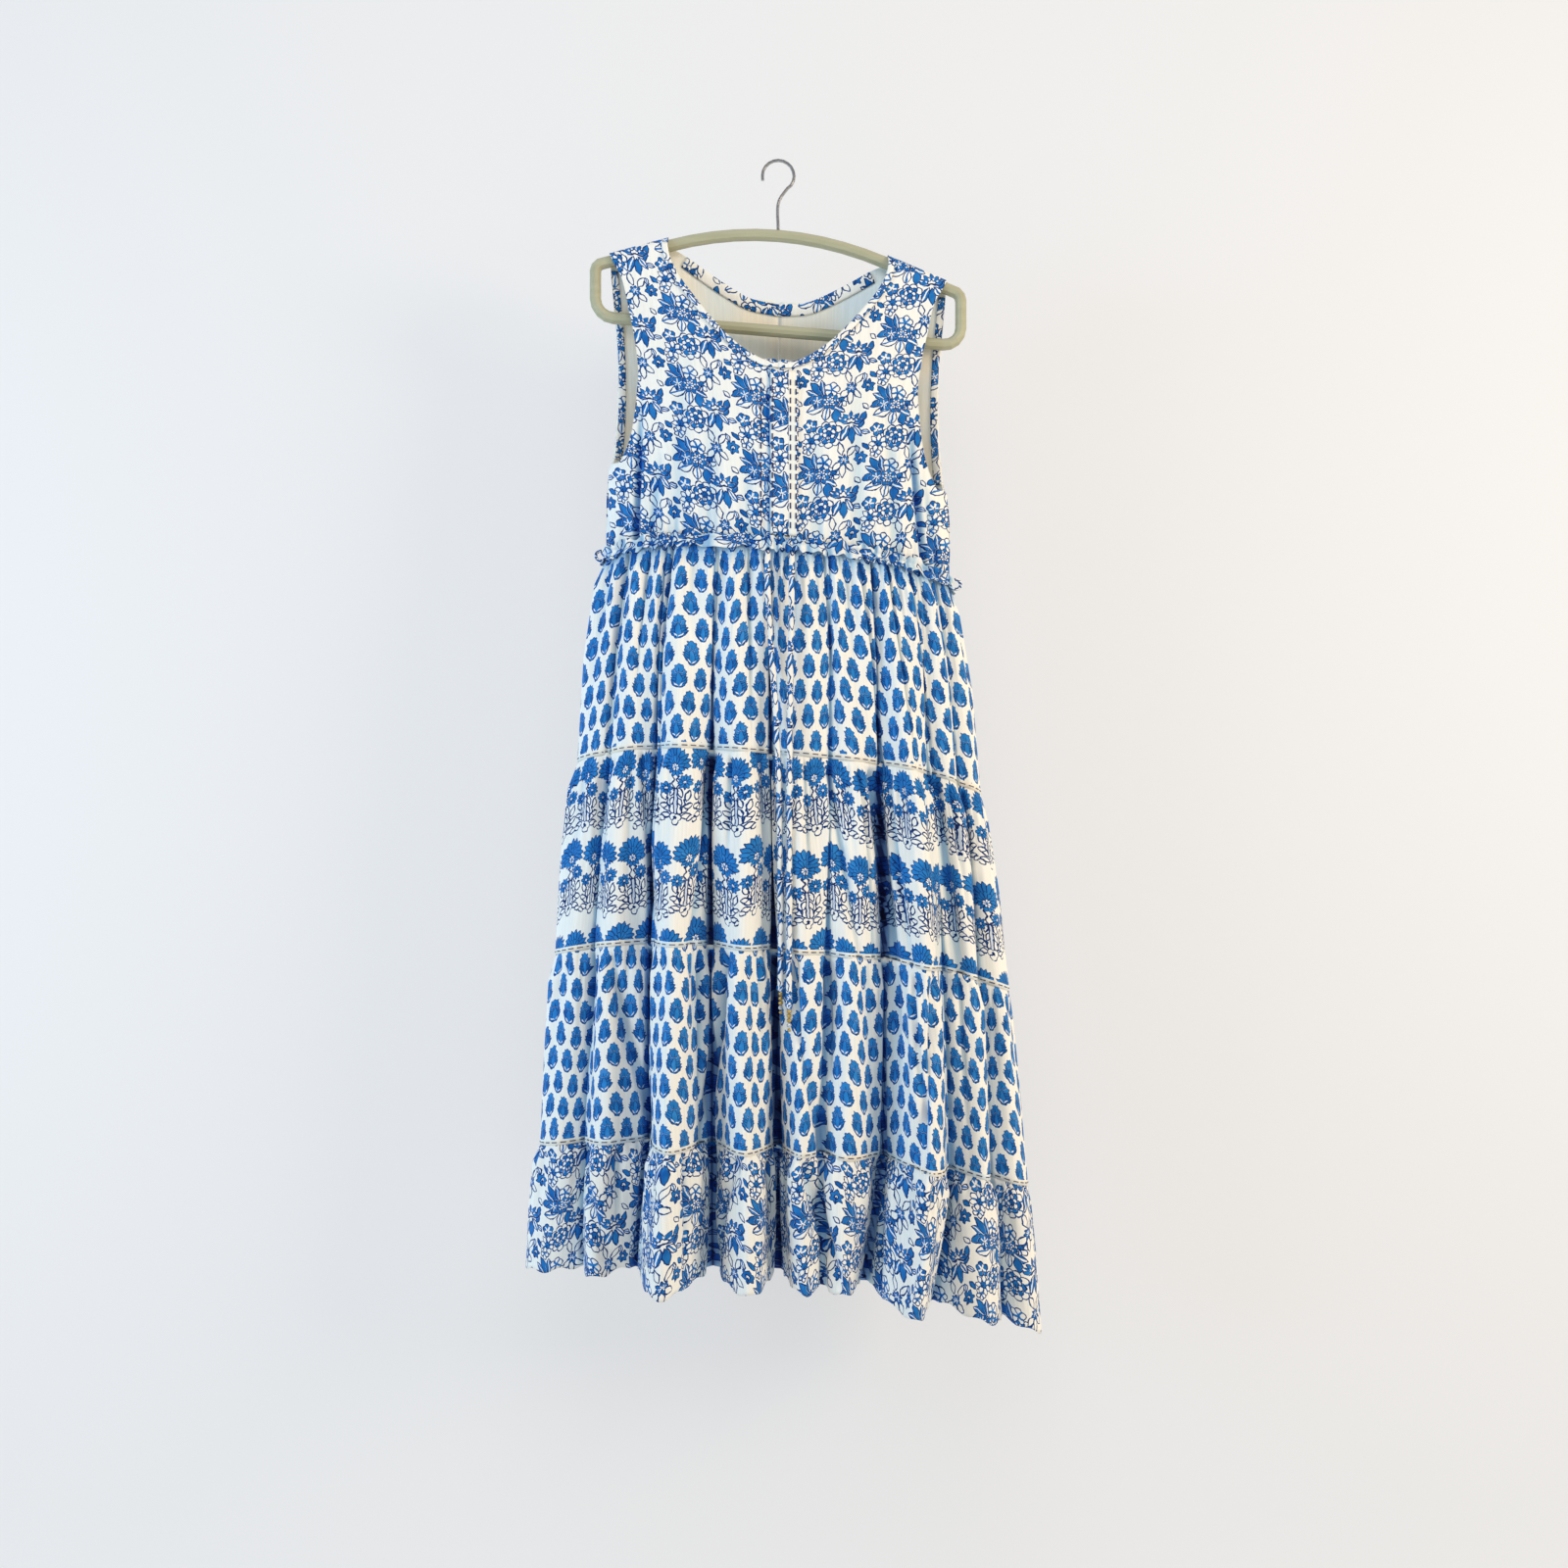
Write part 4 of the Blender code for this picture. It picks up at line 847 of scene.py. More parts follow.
BACK_FOLDS = [Fold(*row) for row in (
    (-1.000, -1.000, -1.000, 0.002), (-0.900, -0.900, -0.900, 0.010),
    (-0.800, -0.790, -0.790, -0.014), (-0.680, -0.660, -0.640, 0.024),
    (-0.550, -0.520, -0.490, -0.030), (-0.420, -0.380, -0.340, 0.036),
    (-0.280, -0.240, -0.190, -0.034), (-0.120, -0.080, -0.040, 0.030),
    (0.040, 0.070, 0.100, -0.036), (0.190, 0.220, 0.250, 0.034), (0.340, 0.370, 0.400, -0.030),
    (0.480, 0.520, 0.550, 0.036), (0.620, 0.660, 0.690, -0.022), (0.760, 0.800, 0.820, 0.016),
    (0.890, 0.910, 0.920, -0.008), (1.000, 1.000, 1.000, 0.002))]

Tier = namedtuple("Tier", "name gathers puff design slot pleats start shade")
TIERS = [
    Tier("tier_1", 16, 0.008, "buti", "buti_print", 74, (0.0, -0.006), 0.56),
    Tier("tier_2", 17, 0.005, "plant", "plant_print", 80, (0.004, -0.054), 0.66),
    Tier("tier_3", 18, 0.002, "buti", "buti_print", 84, (0.004, -0.012), 0.44),
    Tier("tier_4", 19, 0.003, "floral", "floral_print", 88, (0.010, -0.020), 0.40),
]
GatherRow = namedtuple("GatherRow", "down depth puff")
GATHER_ROWS = [
    GatherRow(0.00, 0.0, 0.0),
    GatherRow(0.14, 1.0, 0.8),
    GatherRow(0.50, 0.5, 1.0),
    GatherRow(1.00, 0.1, 0.0),
]
VALLEY_BREADTH, VALLEY_DEPTH = 0.011, 0.009
SEAM_TUCK, SEAM_LAP = 0.0010, 0.0020
SEAM_THREAD_LIFT, SEAM_THREAD_BREADTH = 0.0004, 0.0010
# Painted shade: the fold and gather depths at which it is full and its strength at a large fold's
# bottom; then the frill's painted shadow and how far down the tier it reaches.
FOLD_SHADE_DEPTH, GATHER_SHADE_DEPTH, VALLEY_SHADE = 0.030, 0.008, 0.65
FRILL_SHADE, FRILL_SHADE_REACH = 0.7, 0.13
HEM_WAVES, HEM_WAVE_HEIGHT = 31, 0.0022
Spread = namedtuple("Spread", "waves size")
SPREADS = [Spread(3, 0.006), Spread(7, 0.003)]

# Narrow creases on each tier's front that the large folds leave out: the share of the half's
# cloth at the seam and lower down, how far down the tier they reach, their depth and width.
TierCrease = namedtuple("TierCrease", "top low reach depth width")
TIER_CREASES = [
    [TierCrease(*row) for row in (
        (0.100, 0.095, 1.4, 0.007, 0.0035), (0.165, 0.160, 0.9, 0.005, 0.0030),
        (0.235, 0.225, 1.4, 0.009, 0.0040), (0.345, 0.350, 0.7, 0.005, 0.0030),
        (0.420, 0.430, 1.2, 0.006, 0.0032), (0.620, 0.625, 1.0, 0.006, 0.0032),
        (0.705, 0.712, 1.4, 0.008, 0.0036), (0.775, 0.785, 1.2, 0.007, 0.0032),
        (0.845, 0.850, 1.4, 0.008, 0.0034), (0.905, 0.905, 1.2, 0.006, 0.0030))],
    [TierCrease(*row) for row in (
        (0.120, 0.115, 0.9, 0.006, 0.0032), (0.245, 0.262, 1.3, 0.004, 0.0040),
        (0.180, 0.215, 1.5, 0.008, 0.0080), (0.350, 0.310, 1.5, 0.008, 0.0080),
        (0.600, 0.640, 1.5, 0.008, 0.0080), (0.720, 0.735, 1.5, 0.008, 0.0060),
        (0.695, 0.705, 1.5, 0.010, 0.0110), (0.850, 0.862, 1.5, 0.010, 0.0100),
        (0.930, 0.925, 1.3, 0.006, 0.0040), (0.390, 0.392, 0.7, 0.006, 0.0030),
        (0.560, 0.566, 1.0, 0.006, 0.0030), (0.660, 0.670, 1.3, 0.007, 0.0034),
        (0.800, 0.806, 1.3, 0.008, 0.0034), (0.880, 0.884, 0.9, 0.006, 0.0030))],
    [TierCrease(*row) for row in (
        (0.090, 0.090, 0.8, 0.006, 0.0030), (0.330, 0.325, 1.0, 0.006, 0.0032),
        (0.445, 0.450, 0.7, 0.006, 0.0030), (0.590, 0.596, 0.9, 0.006, 0.0032),
        (0.740, 0.748, 1.3, 0.008, 0.0034), (0.860, 0.862, 1.0, 0.006, 0.0030),
        (0.130, 0.205, 1.5, 0.009, 0.0090), (0.385, 0.330, 1.5, 0.009, 0.0090),
        (0.520, 0.590, 1.5, 0.009, 0.0090), (0.790, 0.730, 1.5, 0.009, 0.0090))],
    [TierCrease(*row) for row in (
        (0.090, 0.150, 1.5, 0.009, 0.0090), (0.400, 0.350, 1.5, 0.009, 0.0090),
        (0.560, 0.610, 1.5, 0.009, 0.0090), (0.770, 0.720, 1.5, 0.009, 0.0090),
        (0.150, 0.152, 0.8, 0.006, 0.0030), (0.300, 0.304, 1.3, 0.006, 0.0034),
        (0.480, 0.486, 0.9, 0.006, 0.0032), (0.680, 0.690, 1.3, 0.006, 0.0034),
        (0.830, 0.832, 0.9, 0.006, 0.0030))],
]


def between_levels(level, column):
    """A column of LEVELS at a height given in levels, such as 1.5 for the middle of tier 2."""
    return np.interp(level, range(len(LEVELS)), [getattr(row, column) for row in LEVELS])


def fold_places(level, folds):
    """The angle of each large fold at one height, and how far each stands out."""
    stops = [0, LOW_LEVEL, len(LEVELS) - 1]
    at = [np.interp(level, stops, (fold.top, fold.low, fold.hem)) for fold in folds]
    return np.arccos(-np.array(at)), np.array([fold.out for fold in folds])


def fold_depth(angle, level, folds):
    """How far the large folds stand out of the oval, with broad crests and narrow valleys."""
    at, out = fold_places(level, folds)
    first = np.clip(np.searchsorted(at, angle, side="right") - 1, 0, len(folds) - 2)
    reach = np.clip((angle - at[first]) / (at[first + 1] - at[first]), 0.0, 1.0)
    valley = np.minimum(out[first], out[first + 1])
    crest = np.maximum(out[first], out[first + 1])
    reach = np.where(out[first] < out[first + 1], reach, 1.0 - reach)
    share = ((1.0 - np.cos(math.pi * reach)) / 2.0) ** CREST_BREADTH
    return (valley + (crest - valley) * share) * between_levels(level, "folds")


def base_oval(angle, level, side):
    """x, y of the skirt's oval before its folds."""
    share = -np.cos(angle)
    half_width = np.where(share < 0, between_levels(level, "left"),
                          between_levels(level, "right"))
    depth = between_levels(level, "front" if side < 0 else "back")
    return np.stack([share * half_width, side * depth * np.sin(angle)], axis=-1)


def outward(path_of, angle, side):
    """Unit vectors that point out of the skirt, from its run round the oval."""
    behind = np.maximum(angle - SLOPE_STEP, 0.0)
    ahead = np.minimum(angle + SLOPE_STEP, math.pi)
    along = path_of(ahead) - path_of(behind)
    return unit(np.stack([-along[:, 1], along[:, 0]], axis=-1)) * side


def run_normal(run, side):
    """Unit vectors out of a run of points that goes from one side seam to the other."""
    along = np.gradient(run, axis=0)
    normal = unit(np.stack([-along[:, 1], along[:, 0]], axis=-1)) * side
    normal[0], normal[-1] = (-1.0, 0.0), (1.0, 0.0)
    return normal


def skirt_run(angle, level, side):
    """x, y of the folded cloth at one height."""
    folds = FRONT_FOLDS if side < 0 else BACK_FOLDS
    normal = outward(lambda a: base_oval(a, level, side), angle, side)
    return base_oval(angle, level, side) + normal * fold_depth(angle, level, folds)[:, None]


def skirt_height(angle, level, side):
    """z of the cloth at one height: its seams droop at the sides, and its crests hang lower."""
    folds = FRONT_FOLDS if side < 0 else BACK_FOLDS
    most = np.where(angle < math.pi / 2, between_levels(level, "droop_left"),
                    between_levels(level, "droop_right"))
    droop = most * np.abs(np.cos(angle)) ** DROOP_POWER
    flare = HEM_FLARE_DROP * max(level - LOW_LEVEL, 0.0) * fold_depth(angle, level, folds)
    return between_levels(level, "z") - droop - flare


def cloth_angles(level, side, columns):
    """Angles of columns of cloth that share the folded run at one height nearly evenly."""
    fine = np.linspace(END_ANGLE, math.pi - END_ANGLE, 801)
    along = lengths_along(skirt_run(fine, level, side))
    share = np.linspace(0.0, 1.0, columns + 1)
    uneven = sum(s.size * np.sin(2.0 * math.pi * s.waves * share) for s in SPREADS)
    return np.interp((share + uneven) * along[-1], along, fine)


def small_pleats(share, down, count, seed):
    """How far the small pleats below a seam draw the cloth in. Each has its own depth and length,
    from a seeded row of numbers, and they widen on the way down."""
    lots = np.random.default_rng(seed)
    pulled = np.zeros_like(share)
    for number in range(count):
        at = (number + lots.uniform(0.15, 0.85)) / count
        reach = 0.18 + 0.95 * lots.uniform() ** 2
        depth = 0.0028 * lots.uniform(0.4, 1.0)
        drift = lots.uniform(-0.4, 0.4) / count
        width = (0.26 + 0.20 * down) / count
        fade = smooth_step(down / 0.05) * (1.0 - smooth_step(down / reach))
        pulled += depth * fade * np.exp(-(((share - at - drift * down) / width) ** 2))
    return pulled


def tier_creases(share, down, number):
    """How far the listed narrow creases draw the front's cloth in."""
    pulled = np.zeros_like(share)
    for crease in TIER_CREASES[number]:
        at = crease.top + (crease.low - crease.top) * down
        fade = smooth_step(down / 0.08) * (1.0 - smooth_step((down / crease.reach - 0.3) / 0.7))
        pulled += crease.depth * fade * np.exp(-(((share - at) / crease.width) ** 2))
    return pulled


def valley_lines(angle, level, folds):
    """How near each point is to the bottom of a large fold, from 0 to 1."""
    near = np.zeros_like(angle)
    for at, depth in zip(*fold_places(level, folds)):
        if depth < 0.0:
            deep = min(1.0, 0.3 - depth / 0.035)
            near = np.maximum(near, deep * np.exp(-(((angle - at) / VALLEY_BREADTH) ** 2)))
    return near


def tier_grid(tier, number, side, columns, rows):
    """Points of half a tier, the shade painted into each one's colour where it lies deep in a fold,
    and the share of the cloth and of the drop that each is at."""
    share = np.linspace(0.0, 1.0, columns + 1)
    gathers = np.sin(2.0 * math.pi * tier.gathers * share) * GATHER_DEPTH
    downs = np.linspace(0.0, 1.0, rows + 1) ** 1.25
    down_stops, depths, puffs = zip(*GATHER_ROWS)
    ends = smooth_step(np.minimum(share, 1.0 - share) / 0.02)
    folds = FRONT_FOLDS if side < 0 else BACK_FOLDS
    points, painted_shade = [], []
    for down in downs:
        level = number + down
        angles = cloth_angles(level, side, columns)
        folded = skirt_run(angles, level, side)
        out = gathers * np.interp(down, down_stops, depths)
        out = out + tier.puff * np.interp(down, down_stops, puffs)
        pulled = small_pleats(share, down, tier.pleats, 10 * number + side + 5)
        if side < 0:
            pulled = pulled + tier_creases(share, down, number)
        valley = valley_lines(angles, level, folds)
        pulled = pulled + VALLEY_DEPTH * valley * (0.5 + 0.5 * between_levels(level, "folds"))
        # The seam's edge is tucked in behind the tier above.
        tucked = SEAM_TUCK * (1.0 - smooth_step(down / 0.03)) * (number > 0)
        out = out - pulled * ends * (1.0 if number else smooth_step(down / 0.05)) - tucked
        run = folded + out[:, None] * run_normal(folded, side)
        z = skirt_height(angles, level, side)
        z = z + (SEAM_LAP * (down == 0.0) if number else 0.0)
        # Painted shade: the colour darkens and turns bluer where the cloth lies below its neighbours
        # in the large folds and the gathers, and most at the bottom of a large fold.
        broad = fold_depth(angles, level, folds)
        wide, narrow = np.ones(columns // 6), np.ones(columns // 24)
        around = np.convolve(np.pad(broad, len(wide) // 2, "edge"), wide / len(wide), "valid")
        close = np.convolve(np.pad(out, len(narrow) // 2, "edge"), narrow / len(narrow), "valid")
        deep = ((around[: columns + 1] - broad) / FOLD_SHADE_DEPTH
                + (close[: columns + 1] - out) / GATHER_SHADE_DEPTH)
        deep = tier.shade * np.clip(deep, 0.0, 1.0) + VALLEY_SHADE * valley**3
        deep = np.clip(deep, 0.0, 1.0) * smooth_step(down / 0.04)
        if number == 0:
            # The frill's shadow on the cloth just below it is painted into the cloth's colour.
            deep = np.maximum(deep, FRILL_SHADE * (1.0 - smooth_step(down / FRILL_SHADE_REACH)))
        painted_shade.append(deep)
        if number == len(TIERS) - 1:
            # The rolled hem is stretched a little, so its edge dips and lifts.
            wave = np.sin(2.0 * math.pi * HEM_WAVES * share + 2.0)
            z = z + HEM_WAVE_HEIGHT * down**6 * wave * ends
        points.append(np.column_stack([run, z]))
    return np.array(points), np.array(painted_shade), share, downs


tier_above = {}
for number, tier in enumerate(TIERS):
    for word, side in (("front", -1), ("back", 1)):
        columns, rows = (560, 44) if side < 0 else (400, 30)
        points, painted_shade, share, downs = tier_grid(tier, number, side, columns, rows)
        middle = points[len(downs) // 2]
        width = lengths_along(middle)[-1]
        drop = lengths_along(points[:, columns // 2])[-1]
        # In the gathers the threads slide, so the print's rows and columns wander.
        across = share * width
        sway = 0.0045 * np.sin(57.0 * across + 1.3 * number) + 0.002 * np.sin(133.0 * across)
        drift = 0.003 * np.sin(5.0 * downs[:, None] + 40.0 * across)
        flat = np.stack(np.broadcast_arrays(across + drift + tier.start[0],
                                            sway - (downs * drop)[:, None] + tier.start[1]),
                        axis=-1)
        piece = cloth_piece(f"voile_{tier.name}_{word}", points, flat, tier.design,
                            (0.0, side, 0.0), painted_shade)
        if number < len(TIERS) - 1:
            # Along its lower edge the cloth is bare, and the seam's stitches lie on the bare strip.
            piece.data.materials.append(CLOTHS["plain"])
            for face in piece.data.polygons[(rows - 1) * columns :]:
                face.material_index = 2
        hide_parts(f"{tier.name}_{word}")
        if number > 0:
            edge = (tier_above[side][-1] + tier_above[side][-2]) / 2
            normal = run_normal(edge[:, :2], side)
            normals = np.column_stack([normal, np.zeros(len(normal))])
            row = running_stitch(f"seam_stitches_{tier.name}_{word}", leaned(edge)[4:-4],
                                 normals[4:-4], SEAM_THREAD_LIFT, SEAM_THREAD_BREADTH)
        tier_above[side] = points

# Frill
# A narrow casing of the floral voile over the under-bust seam, cut on the bias and ruffled by its
# stitching. A small rolled loop of the same cloth ends it at each side seam.
FrillRow = namedtuple("FrillRow", "up off wave")
FRILL_ROWS = [
    FrillRow(-0.0075, 0.0066, 0.9),
    FrillRow(-0.0040, 0.0056, 0.5),
    FrillRow(0.0005, 0.0026, 0.1),
    FrillRow(0.0042, 0.0050, 0.7),
    FrillRow(0.0075, 0.0052, 1.0),
]
FRILL_FALL, FRILL_LIFT = 0.0028, 0.0032
FRILL_WIDTH, FRILL_FULLNESS, FRILL_LINES = 0.021, 1.15, 15
BIAS = (0.80, 0.36)
for word, side in (("front", -1), ("back", 1)):
    columns = 640
    angles = cloth_angles(0, side, columns)
    share = np.linspace(0.0, 1.0, columns + 1)
    run = base_oval(angles, 0, side)
    normal = outward(lambda a: base_oval(a, 0, side), angles, side)
    height = skirt_height(angles, 0, side)
    wander = 38.0 * share + 1.2 * np.sin(9.0 * share) + 0.8 * np.sin(23.0 * share + 1.0)
    fall = 0.6 * np.sin(4.2 * wander) + 0.4 * np.sin(7.9 * wander + 2.0)
    lift = 0.6 * np.sin(3.1 * wander + 1.0) + 0.4 * np.sin(6.7 * wander)
    ups, offs, waves = zip(*FRILL_ROWS)
    points = []
    for up in np.linspace(ups[0], ups[-1], FRILL_LINES):
        much = np.interp(up, ups, waves)
        off = np.interp(up, ups, offs) + FRILL_FALL * much * fall
        points.append(np.column_stack([run + normal * off[:, None],
                                       height + up + FRILL_LIFT * much * lift]))
    points = np.array(points)
    width = lengths_along(run)[-1] * FRILL_FULLNESS
    across, up = np.broadcast_arrays(share * width,
                                     np.linspace(0.0, FRILL_WIDTH, FRILL_LINES)[:, None])
    flat = np.stack([BIAS[0] * across - up * BIAS[1], BIAS[1] * across + up * BIAS[0]], axis=-1)
    # Painted shade in the hollows of the ruffles, in the cloth's colour.
    painted_shade = np.clip(0.25 - 0.5 * fall, 0.0, 0.6) * np.ones((FRILL_LINES, 1))
    frill = cloth_piece(f"voile_frill_{word}", points, flat, "floral", (0.0, side, 0.0), painted_shade)
    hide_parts(f"waist_frill_{word}")

CORD_SIDES = 14
LOOP_REACH, LOOP_CORD_RADIUS = 0.0056, 0.0016


def rolled_cord(name, points, radius):
    """A cord rolled from voile: a closed tube along the points, with the ridge of its sewn edge
    winding slowly round it."""
    along = unit(np.gradient(points, axis=0))
    beside = unit(np.cross(along, (0.0, 1.0, 0.0)))[:, None]
    before = np.cross(beside[:, 0], along)[:, None]
    length = lengths_along(points)[:, None]
    turns = np.linspace(0.0, 2.0 * math.pi, CORD_SIDES + 1)
    ridge = radius * (1.0 + 0.07 * np.sin(2.0 * turns + 55.0 * length)
                      + 0.05 * np.sin(turns + 240.0 * length))[..., None]
    tube = points[:, None] + ridge * (np.cos(turns)[:, None] * beside
                                      + np.sin(turns)[:, None] * before)
    flat = np.stack(np.broadcast_arrays(turns * radius + 0.012, -length), axis=-1)
    cord = cloth_grid(tube, flat)
    bmesh.ops.remove_doubles(cord, verts=cord.verts[:], dist=1e-5)
    bmesh.ops.holes_fill(cord, edges=[e for e in cord.edges if e.is_boundary])
    bmesh.ops.recalc_face_normals(cord, faces=cord.faces[:])
    return finished(name, cord, CLOTHS["floral"])


LOOP_TURNS = np.linspace(-0.2, math.pi + 0.2, 17)[:, None]
for word, hand in (("left", -1), ("right", 1)):
    middle = np.array((hand * 0.1990, 0.0, -0.458))
    ring = np.hstack([hand * np.sin(LOOP_TURNS), 0.25 * np.cos(LOOP_TURNS), np.cos(LOOP_TURNS)])
    loop = rolled_cord(f"side_loop_{word}", leaned(middle + LOOP_REACH * ring),
                       LOOP_CORD_RADIUS)

# Ties
# Two cords rolled from the printed voile, 6 mm thick, sewn in under the frill and left hanging in
# front of the skirt's middle valley. Each is knotted at its end over a short string of beads.
TIE_RADIUS = 0.0031
TIE_POINTS = 90
TIE_ROUTES = {
    "left": [
        (-0.0110, -0.0640, -0.4476),
        (-0.0110, -0.0735, -0.4800),
        (-0.0080, -0.0760, -0.5400),
        (-0.0030, -0.0775, -0.6100),
        (0.0010, -0.0775, -0.6900),
        (0.0025, -0.0775, -0.7900),
        (0.0030, -0.0775, -0.9190),
    ],
    "right": [
        (0.0150, -0.0640, -0.4501),
        (0.0150, -0.0745, -0.4800),
        (0.0140, -0.0775, -0.5400),
        (0.0130, -0.0795, -0.6100),
        (0.0125, -0.0820, -0.7200),
        (0.0122, -0.0825, -0.8300),
        (0.0120, -0.0825, -0.9370),
    ],
}
# Three brass beads, a clear glass one and a small brass one are threaded below each knot.
BEAD_RADIUS, BEAD_PITCH, LAST_BEAD_SIZE = 0.0026, 0.0050, 0.75
KNOT_RADIUS = 0.0041
BEAD_FINISHES = ["brass", "brass", "brass", "glass", "brass"]

# Handling wears the brass beads unevenly, which mottles both their colour and their shine.
brass, tree, shader = new_material("polished_brass", {"Metallic": 1.0})
place = add(tree, "TexCoord").node.outputs["Object"]
worn = add(tree, "TexNoise", {"Vector": place, "Scale": 900.0, "Detail": 2.0})
two_tones(tree, shader, worn, "#9C7A3C", "#E3C67C", (0.2, 0.42))
# Pressed glass is clear and smooth, with a faint grey blue.
glass, _, _ = new_material("pressed_glass", {
    "Base Color": linear("#E9EEF2"), "Roughness": 0.06, "IOR": 1.5, "Transmission Weight": 0.6})

for word, route in TIE_ROUTES.items():
    points = smooth_route(route, TIE_POINTS)
    tie = rolled_cord(f"printed_tie_{word}", points, TIE_RADIUS)
    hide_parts(f"tie_{word}")
    string = bmesh.new()
    flat_cut = string.loops.layers.uv.new("flat_cut")
    for number, finish in enumerate(BEAD_FINISHES):
        small = LAST_BEAD_SIZE if number == len(BEAD_FINISHES) - 1 else 1.0
        made = bmesh.ops.create_uvsphere(string, u_segments=20, v_segments=12,
                                         radius=BEAD_RADIUS * small)
        drop = BEAD_RADIUS + 0.0003 + number * BEAD_PITCH
        bmesh.ops.scale(string, vec=(1.0, 1.0, 0.94), verts=made["verts"])
        bmesh.ops.translate(string, vec=points[-1] - (0.0, 0.0, drop), verts=made["verts"])
        for face in {f for v in made["verts"] for f in v.link_faces}:
            face.material_index = 1 if finish == "glass" else 0
            face.smooth = True
    knot = bmesh.ops.create_uvsphere(string, u_segments=24, v_segments=14, radius=KNOT_RADIUS)
    for vertex in knot["verts"]:
        turn = math.atan2(vertex.co.y, vertex.co.x)
        for loop in vertex.link_loops:
            loop[flat_cut].uv = (KNOT_RADIUS * turn, vertex.co.z)
        vertex.co = vertex.co * (1.0 + 0.10 * math.sin(2.0 * turn + 900.0 * vertex.co.z))
    bmesh.ops.scale(string, vec=(1.0, 0.85, 1.15), verts=knot["verts"])
    bmesh.ops.translate(string, vec=points[-1] + (0.0, 0.0, 0.0030), verts=knot["verts"])
    for face in {f for v in knot["verts"] for f in v.link_faces}:
        face.material_index = 2
        face.smooth = True
    beads = finished(f"knot_and_beads_{word}", string, brass, glass, CLOTHS["floral"])
    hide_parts(f"tie_beads_{word}")

# Hanger
# A bent steel tube painted satin sage beige, with a plain plated wire hook on its middle.
# Sprayed paint is almost even, with a faint orange peel and dull rub marks along the tube.
paint, tree, shader = new_material("painted_steel_tube", {})
place = add(tree, "TexCoord").node.outputs["Object"]
peel = add(tree, "TexNoise", {"Vector": place, "Scale": 450.0, "Detail": 2.0})
rub = add(tree, "VectorMath MULTIPLY", place, (12.0, 160.0, 160.0))
rub = add(tree, "TexNoise", {"Vector": rub, "Scale": 1.0, "Detail": 3.0})
two_tones(tree, shader, rub, "#A09E80", "#B9B697", (0.34, 0.55))
bump = add(tree, "Bump", {"Height": peel, "Strength": 0.15, "Distance": 0.0002})
tree.links.new(bump, shader.inputs["Normal"])
# Nickel-plated wire keeps the fine lines of its drawing, which break up its shine.
plate, tree, shader = new_material("nickel_plated_wire", {"Metallic": 1.0})
place = add(tree, "TexCoord").node.outputs["Object"]
drawn = add(tree, "TexNoise", {"Vector": place, "Scale": 300.0, "Detail": 3.0})
two_tones(tree, shader, drawn, "#A8A9AA", "#CFD0D1", (0.18, 0.36))
for node, material in (("hanger_frame", paint), ("hanger_hook", plate)):
    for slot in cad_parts[node].material_slots:
        slot.material = material

# Studio
# A pale floor that curves up into a pale wall close behind the dress, with a large warm light on
# the right, a cool one on the left and weaker ones behind, so the back is lit as well.
WALL_Y, WALL_TOP_Z, FLOOR_Z, FLOOR_FRONT_Y, COVE = 0.18, 2.2, -1.95, -4.0, 0.35
STUDIO_HALF_WIDTH = 4.5
profile = [(FLOOR_FRONT_Y, FLOOR_Z)]
for turn in np.linspace(0.0, math.pi / 2, 17):
    profile.append((WALL_Y - COVE + COVE * math.sin(turn), FLOOR_Z + COVE - COVE * math.cos(turn)))
profile.append((WALL_Y, WALL_TOP_Z))
sweep = bmesh.new()
rim = [sweep.verts.new((-STUDIO_HALF_WIDTH, y, z)) for y, z in profile]
edges = [sweep.edges.new(pair) for pair in zip(rim, rim[1:])]
made = bmesh.ops.extrude_edge_only(sweep, edges=edges)
bmesh.ops.translate(sweep, vec=(2 * STUDIO_HALF_WIDTH, 0.0, 0.0),
                    verts=[v for v in made["geom"] if isinstance(v, bmesh.types.BMVert)])
for face in sweep.faces:
    face.smooth = True
sweep.normal_update()
sweep.faces.ensure_lookup_table()
if sweep.faces[0].normal.z < 0:
    bmesh.ops.reverse_faces(sweep, faces=sweep.faces[:])
mesh = bpy.data.meshes.new("studio_sweep")
sweep.to_mesh(mesh)
sweep.free()
backdrop = bpy.data.objects.new("studio_sweep", mesh)
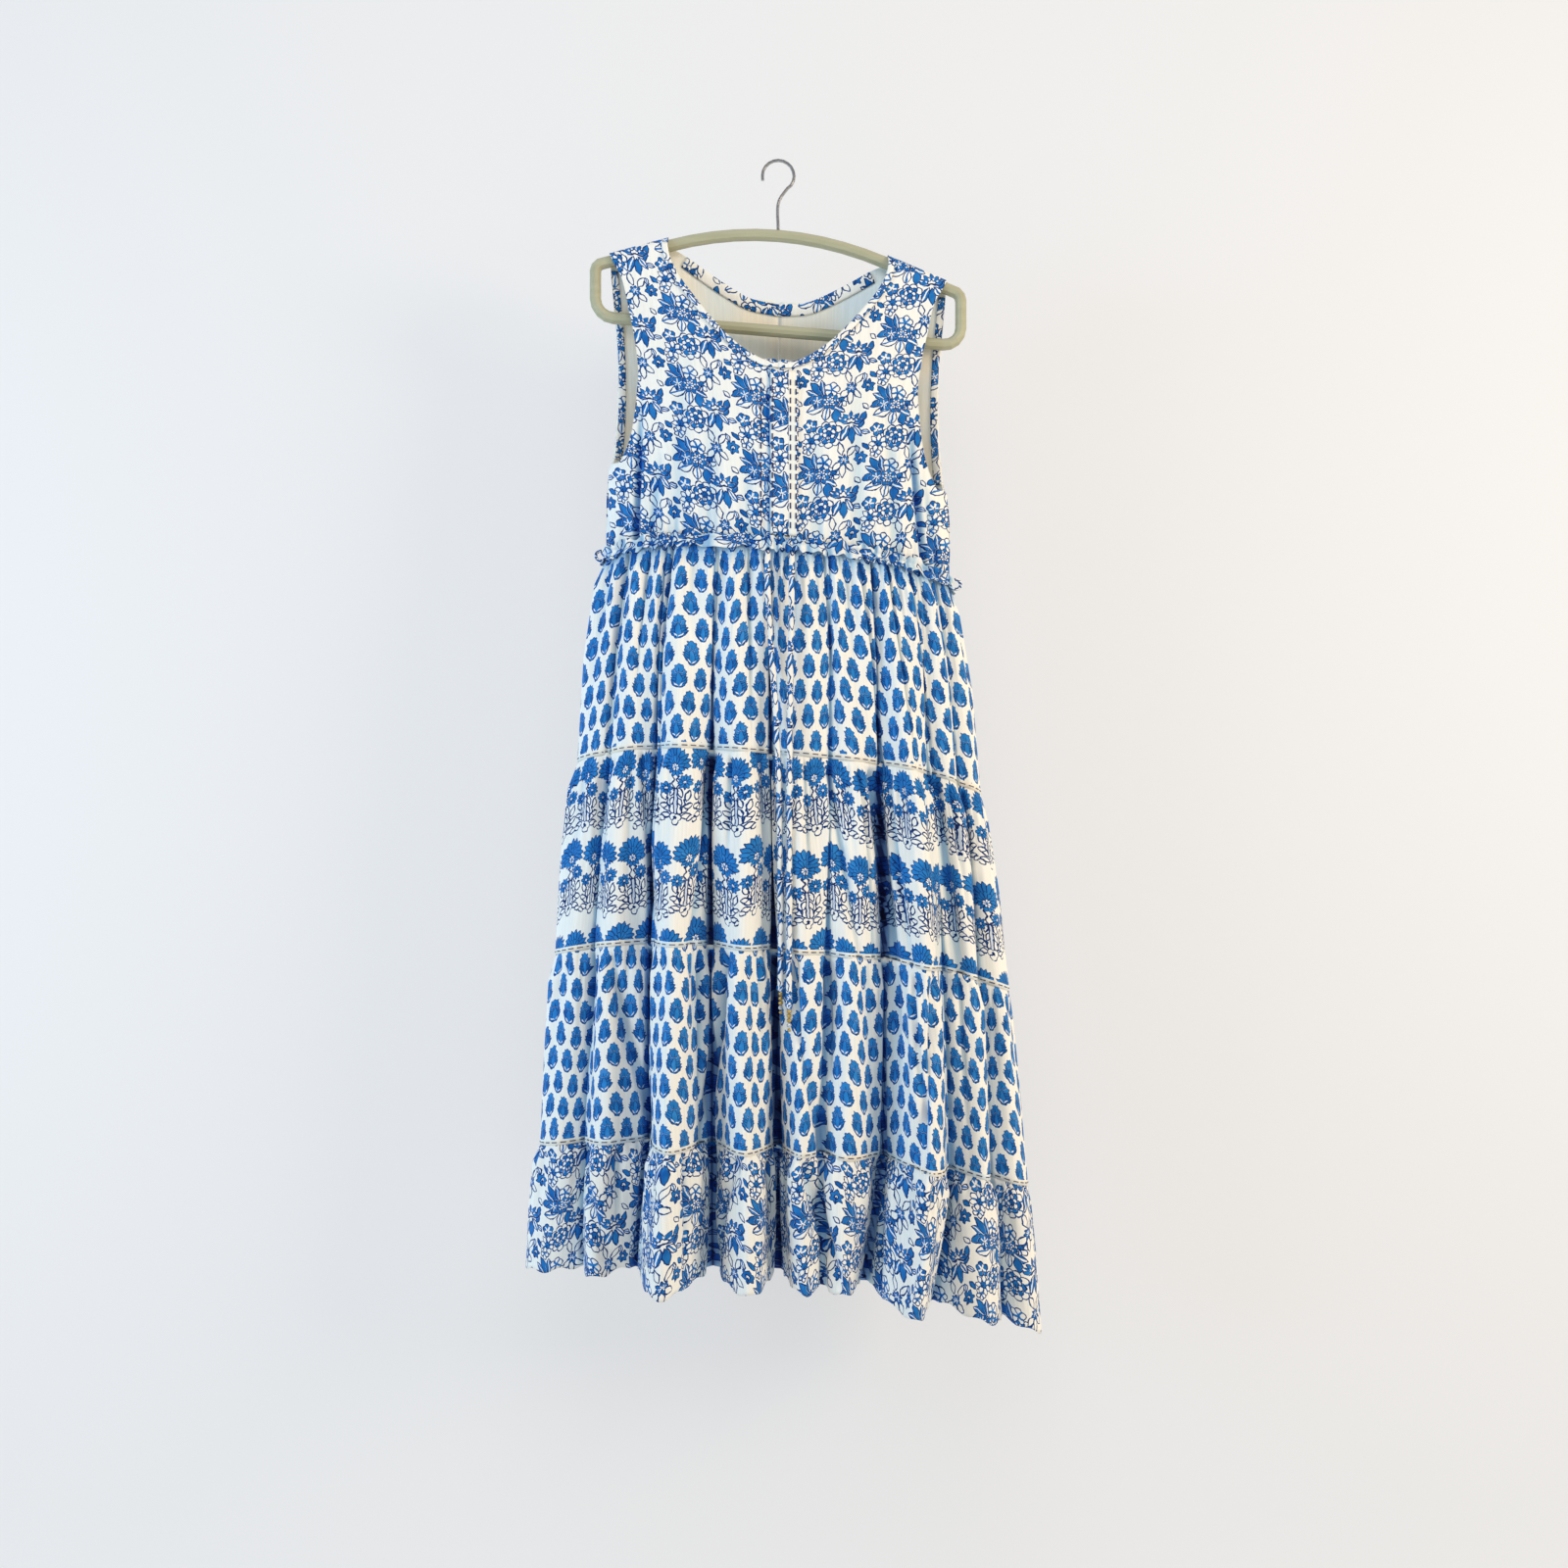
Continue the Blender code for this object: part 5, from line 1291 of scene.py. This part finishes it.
scene.collection.objects.link(backdrop)
# The matt paper glows evenly by itself, as if lit from behind.
paper, tree, shader = new_material("matt_backdrop_paper", {
    "Base Color": linear("#9C9C9C"), "Roughness": 1.0, "Specular IOR Level": 0.0,
    "Emission Color": linear("#F6F5F4"), "Emission Strength": 0.545})
# From behind, the paper is clear, so the back of the dress can be looked at.
clear = add(tree, "BsdfTransparent")
behind = add(tree, "NewGeometry").node.outputs["Backfacing"]
seen = add(tree, "MixShader", behind, shader.outputs[0], clear)
tree.links.new(seen, tree.nodes["Material Output"].inputs["Surface"])
mesh.materials.append(paper)
backdrop.visible_shadow = False

Lamp = namedtuple("Lamp", "name place aim size power colour")
LAMPS = [
    Lamp("warm_key", (2.1, -1.3, -0.2), (0.0, 0.0, -0.75), 0.9, 34.5, "#FFEACE"),
    Lamp("cool_fill", (-2.1, -1.1, -0.5), (0.0, 0.0, -0.75), 1.1, 29.5, "#AEDAFF"),
    Lamp("top_soft", (0.0, -1.6, 0.8), (0.0, 0.1, -0.9), 1.6, 15.0, "#FFFFFF"),
    Lamp("rear_left", (-1.6, 1.9, 0.3), (0.0, 0.0, -0.7), 1.4, 12.0, "#E6EFFF"),
    Lamp("rear_right", (1.6, 1.9, 0.3), (0.0, 0.0, -0.7), 1.4, 12.0, "#FFF1DC"),
]
for lamp in LAMPS:
    light = bpy.data.lights.new(lamp.name, "AREA")
    light.shape = "DISK"
    light.size = lamp.size
    light.energy = lamp.power
    light.color = linear(lamp.colour)[:3]
    thing = bpy.data.objects.new(lamp.name, light)
    thing.location = lamp.place
    aim = [b - a for a, b in zip(lamp.place, lamp.aim)]
    thing.rotation_euler = Vector(aim).to_track_quat("-Z", "Y").to_euler()
    thing.visible_camera = False
    scene.collection.objects.link(thing)

world = bpy.data.worlds.new("soft_room")
world.use_nodes = True
world.node_tree.nodes["Background"].inputs["Color"].default_value = linear("#F0F0F0")
world.node_tree.nodes["Background"].inputs["Strength"].default_value = 0.34
scene.world = world
scene.view_settings.view_transform = "Standard"
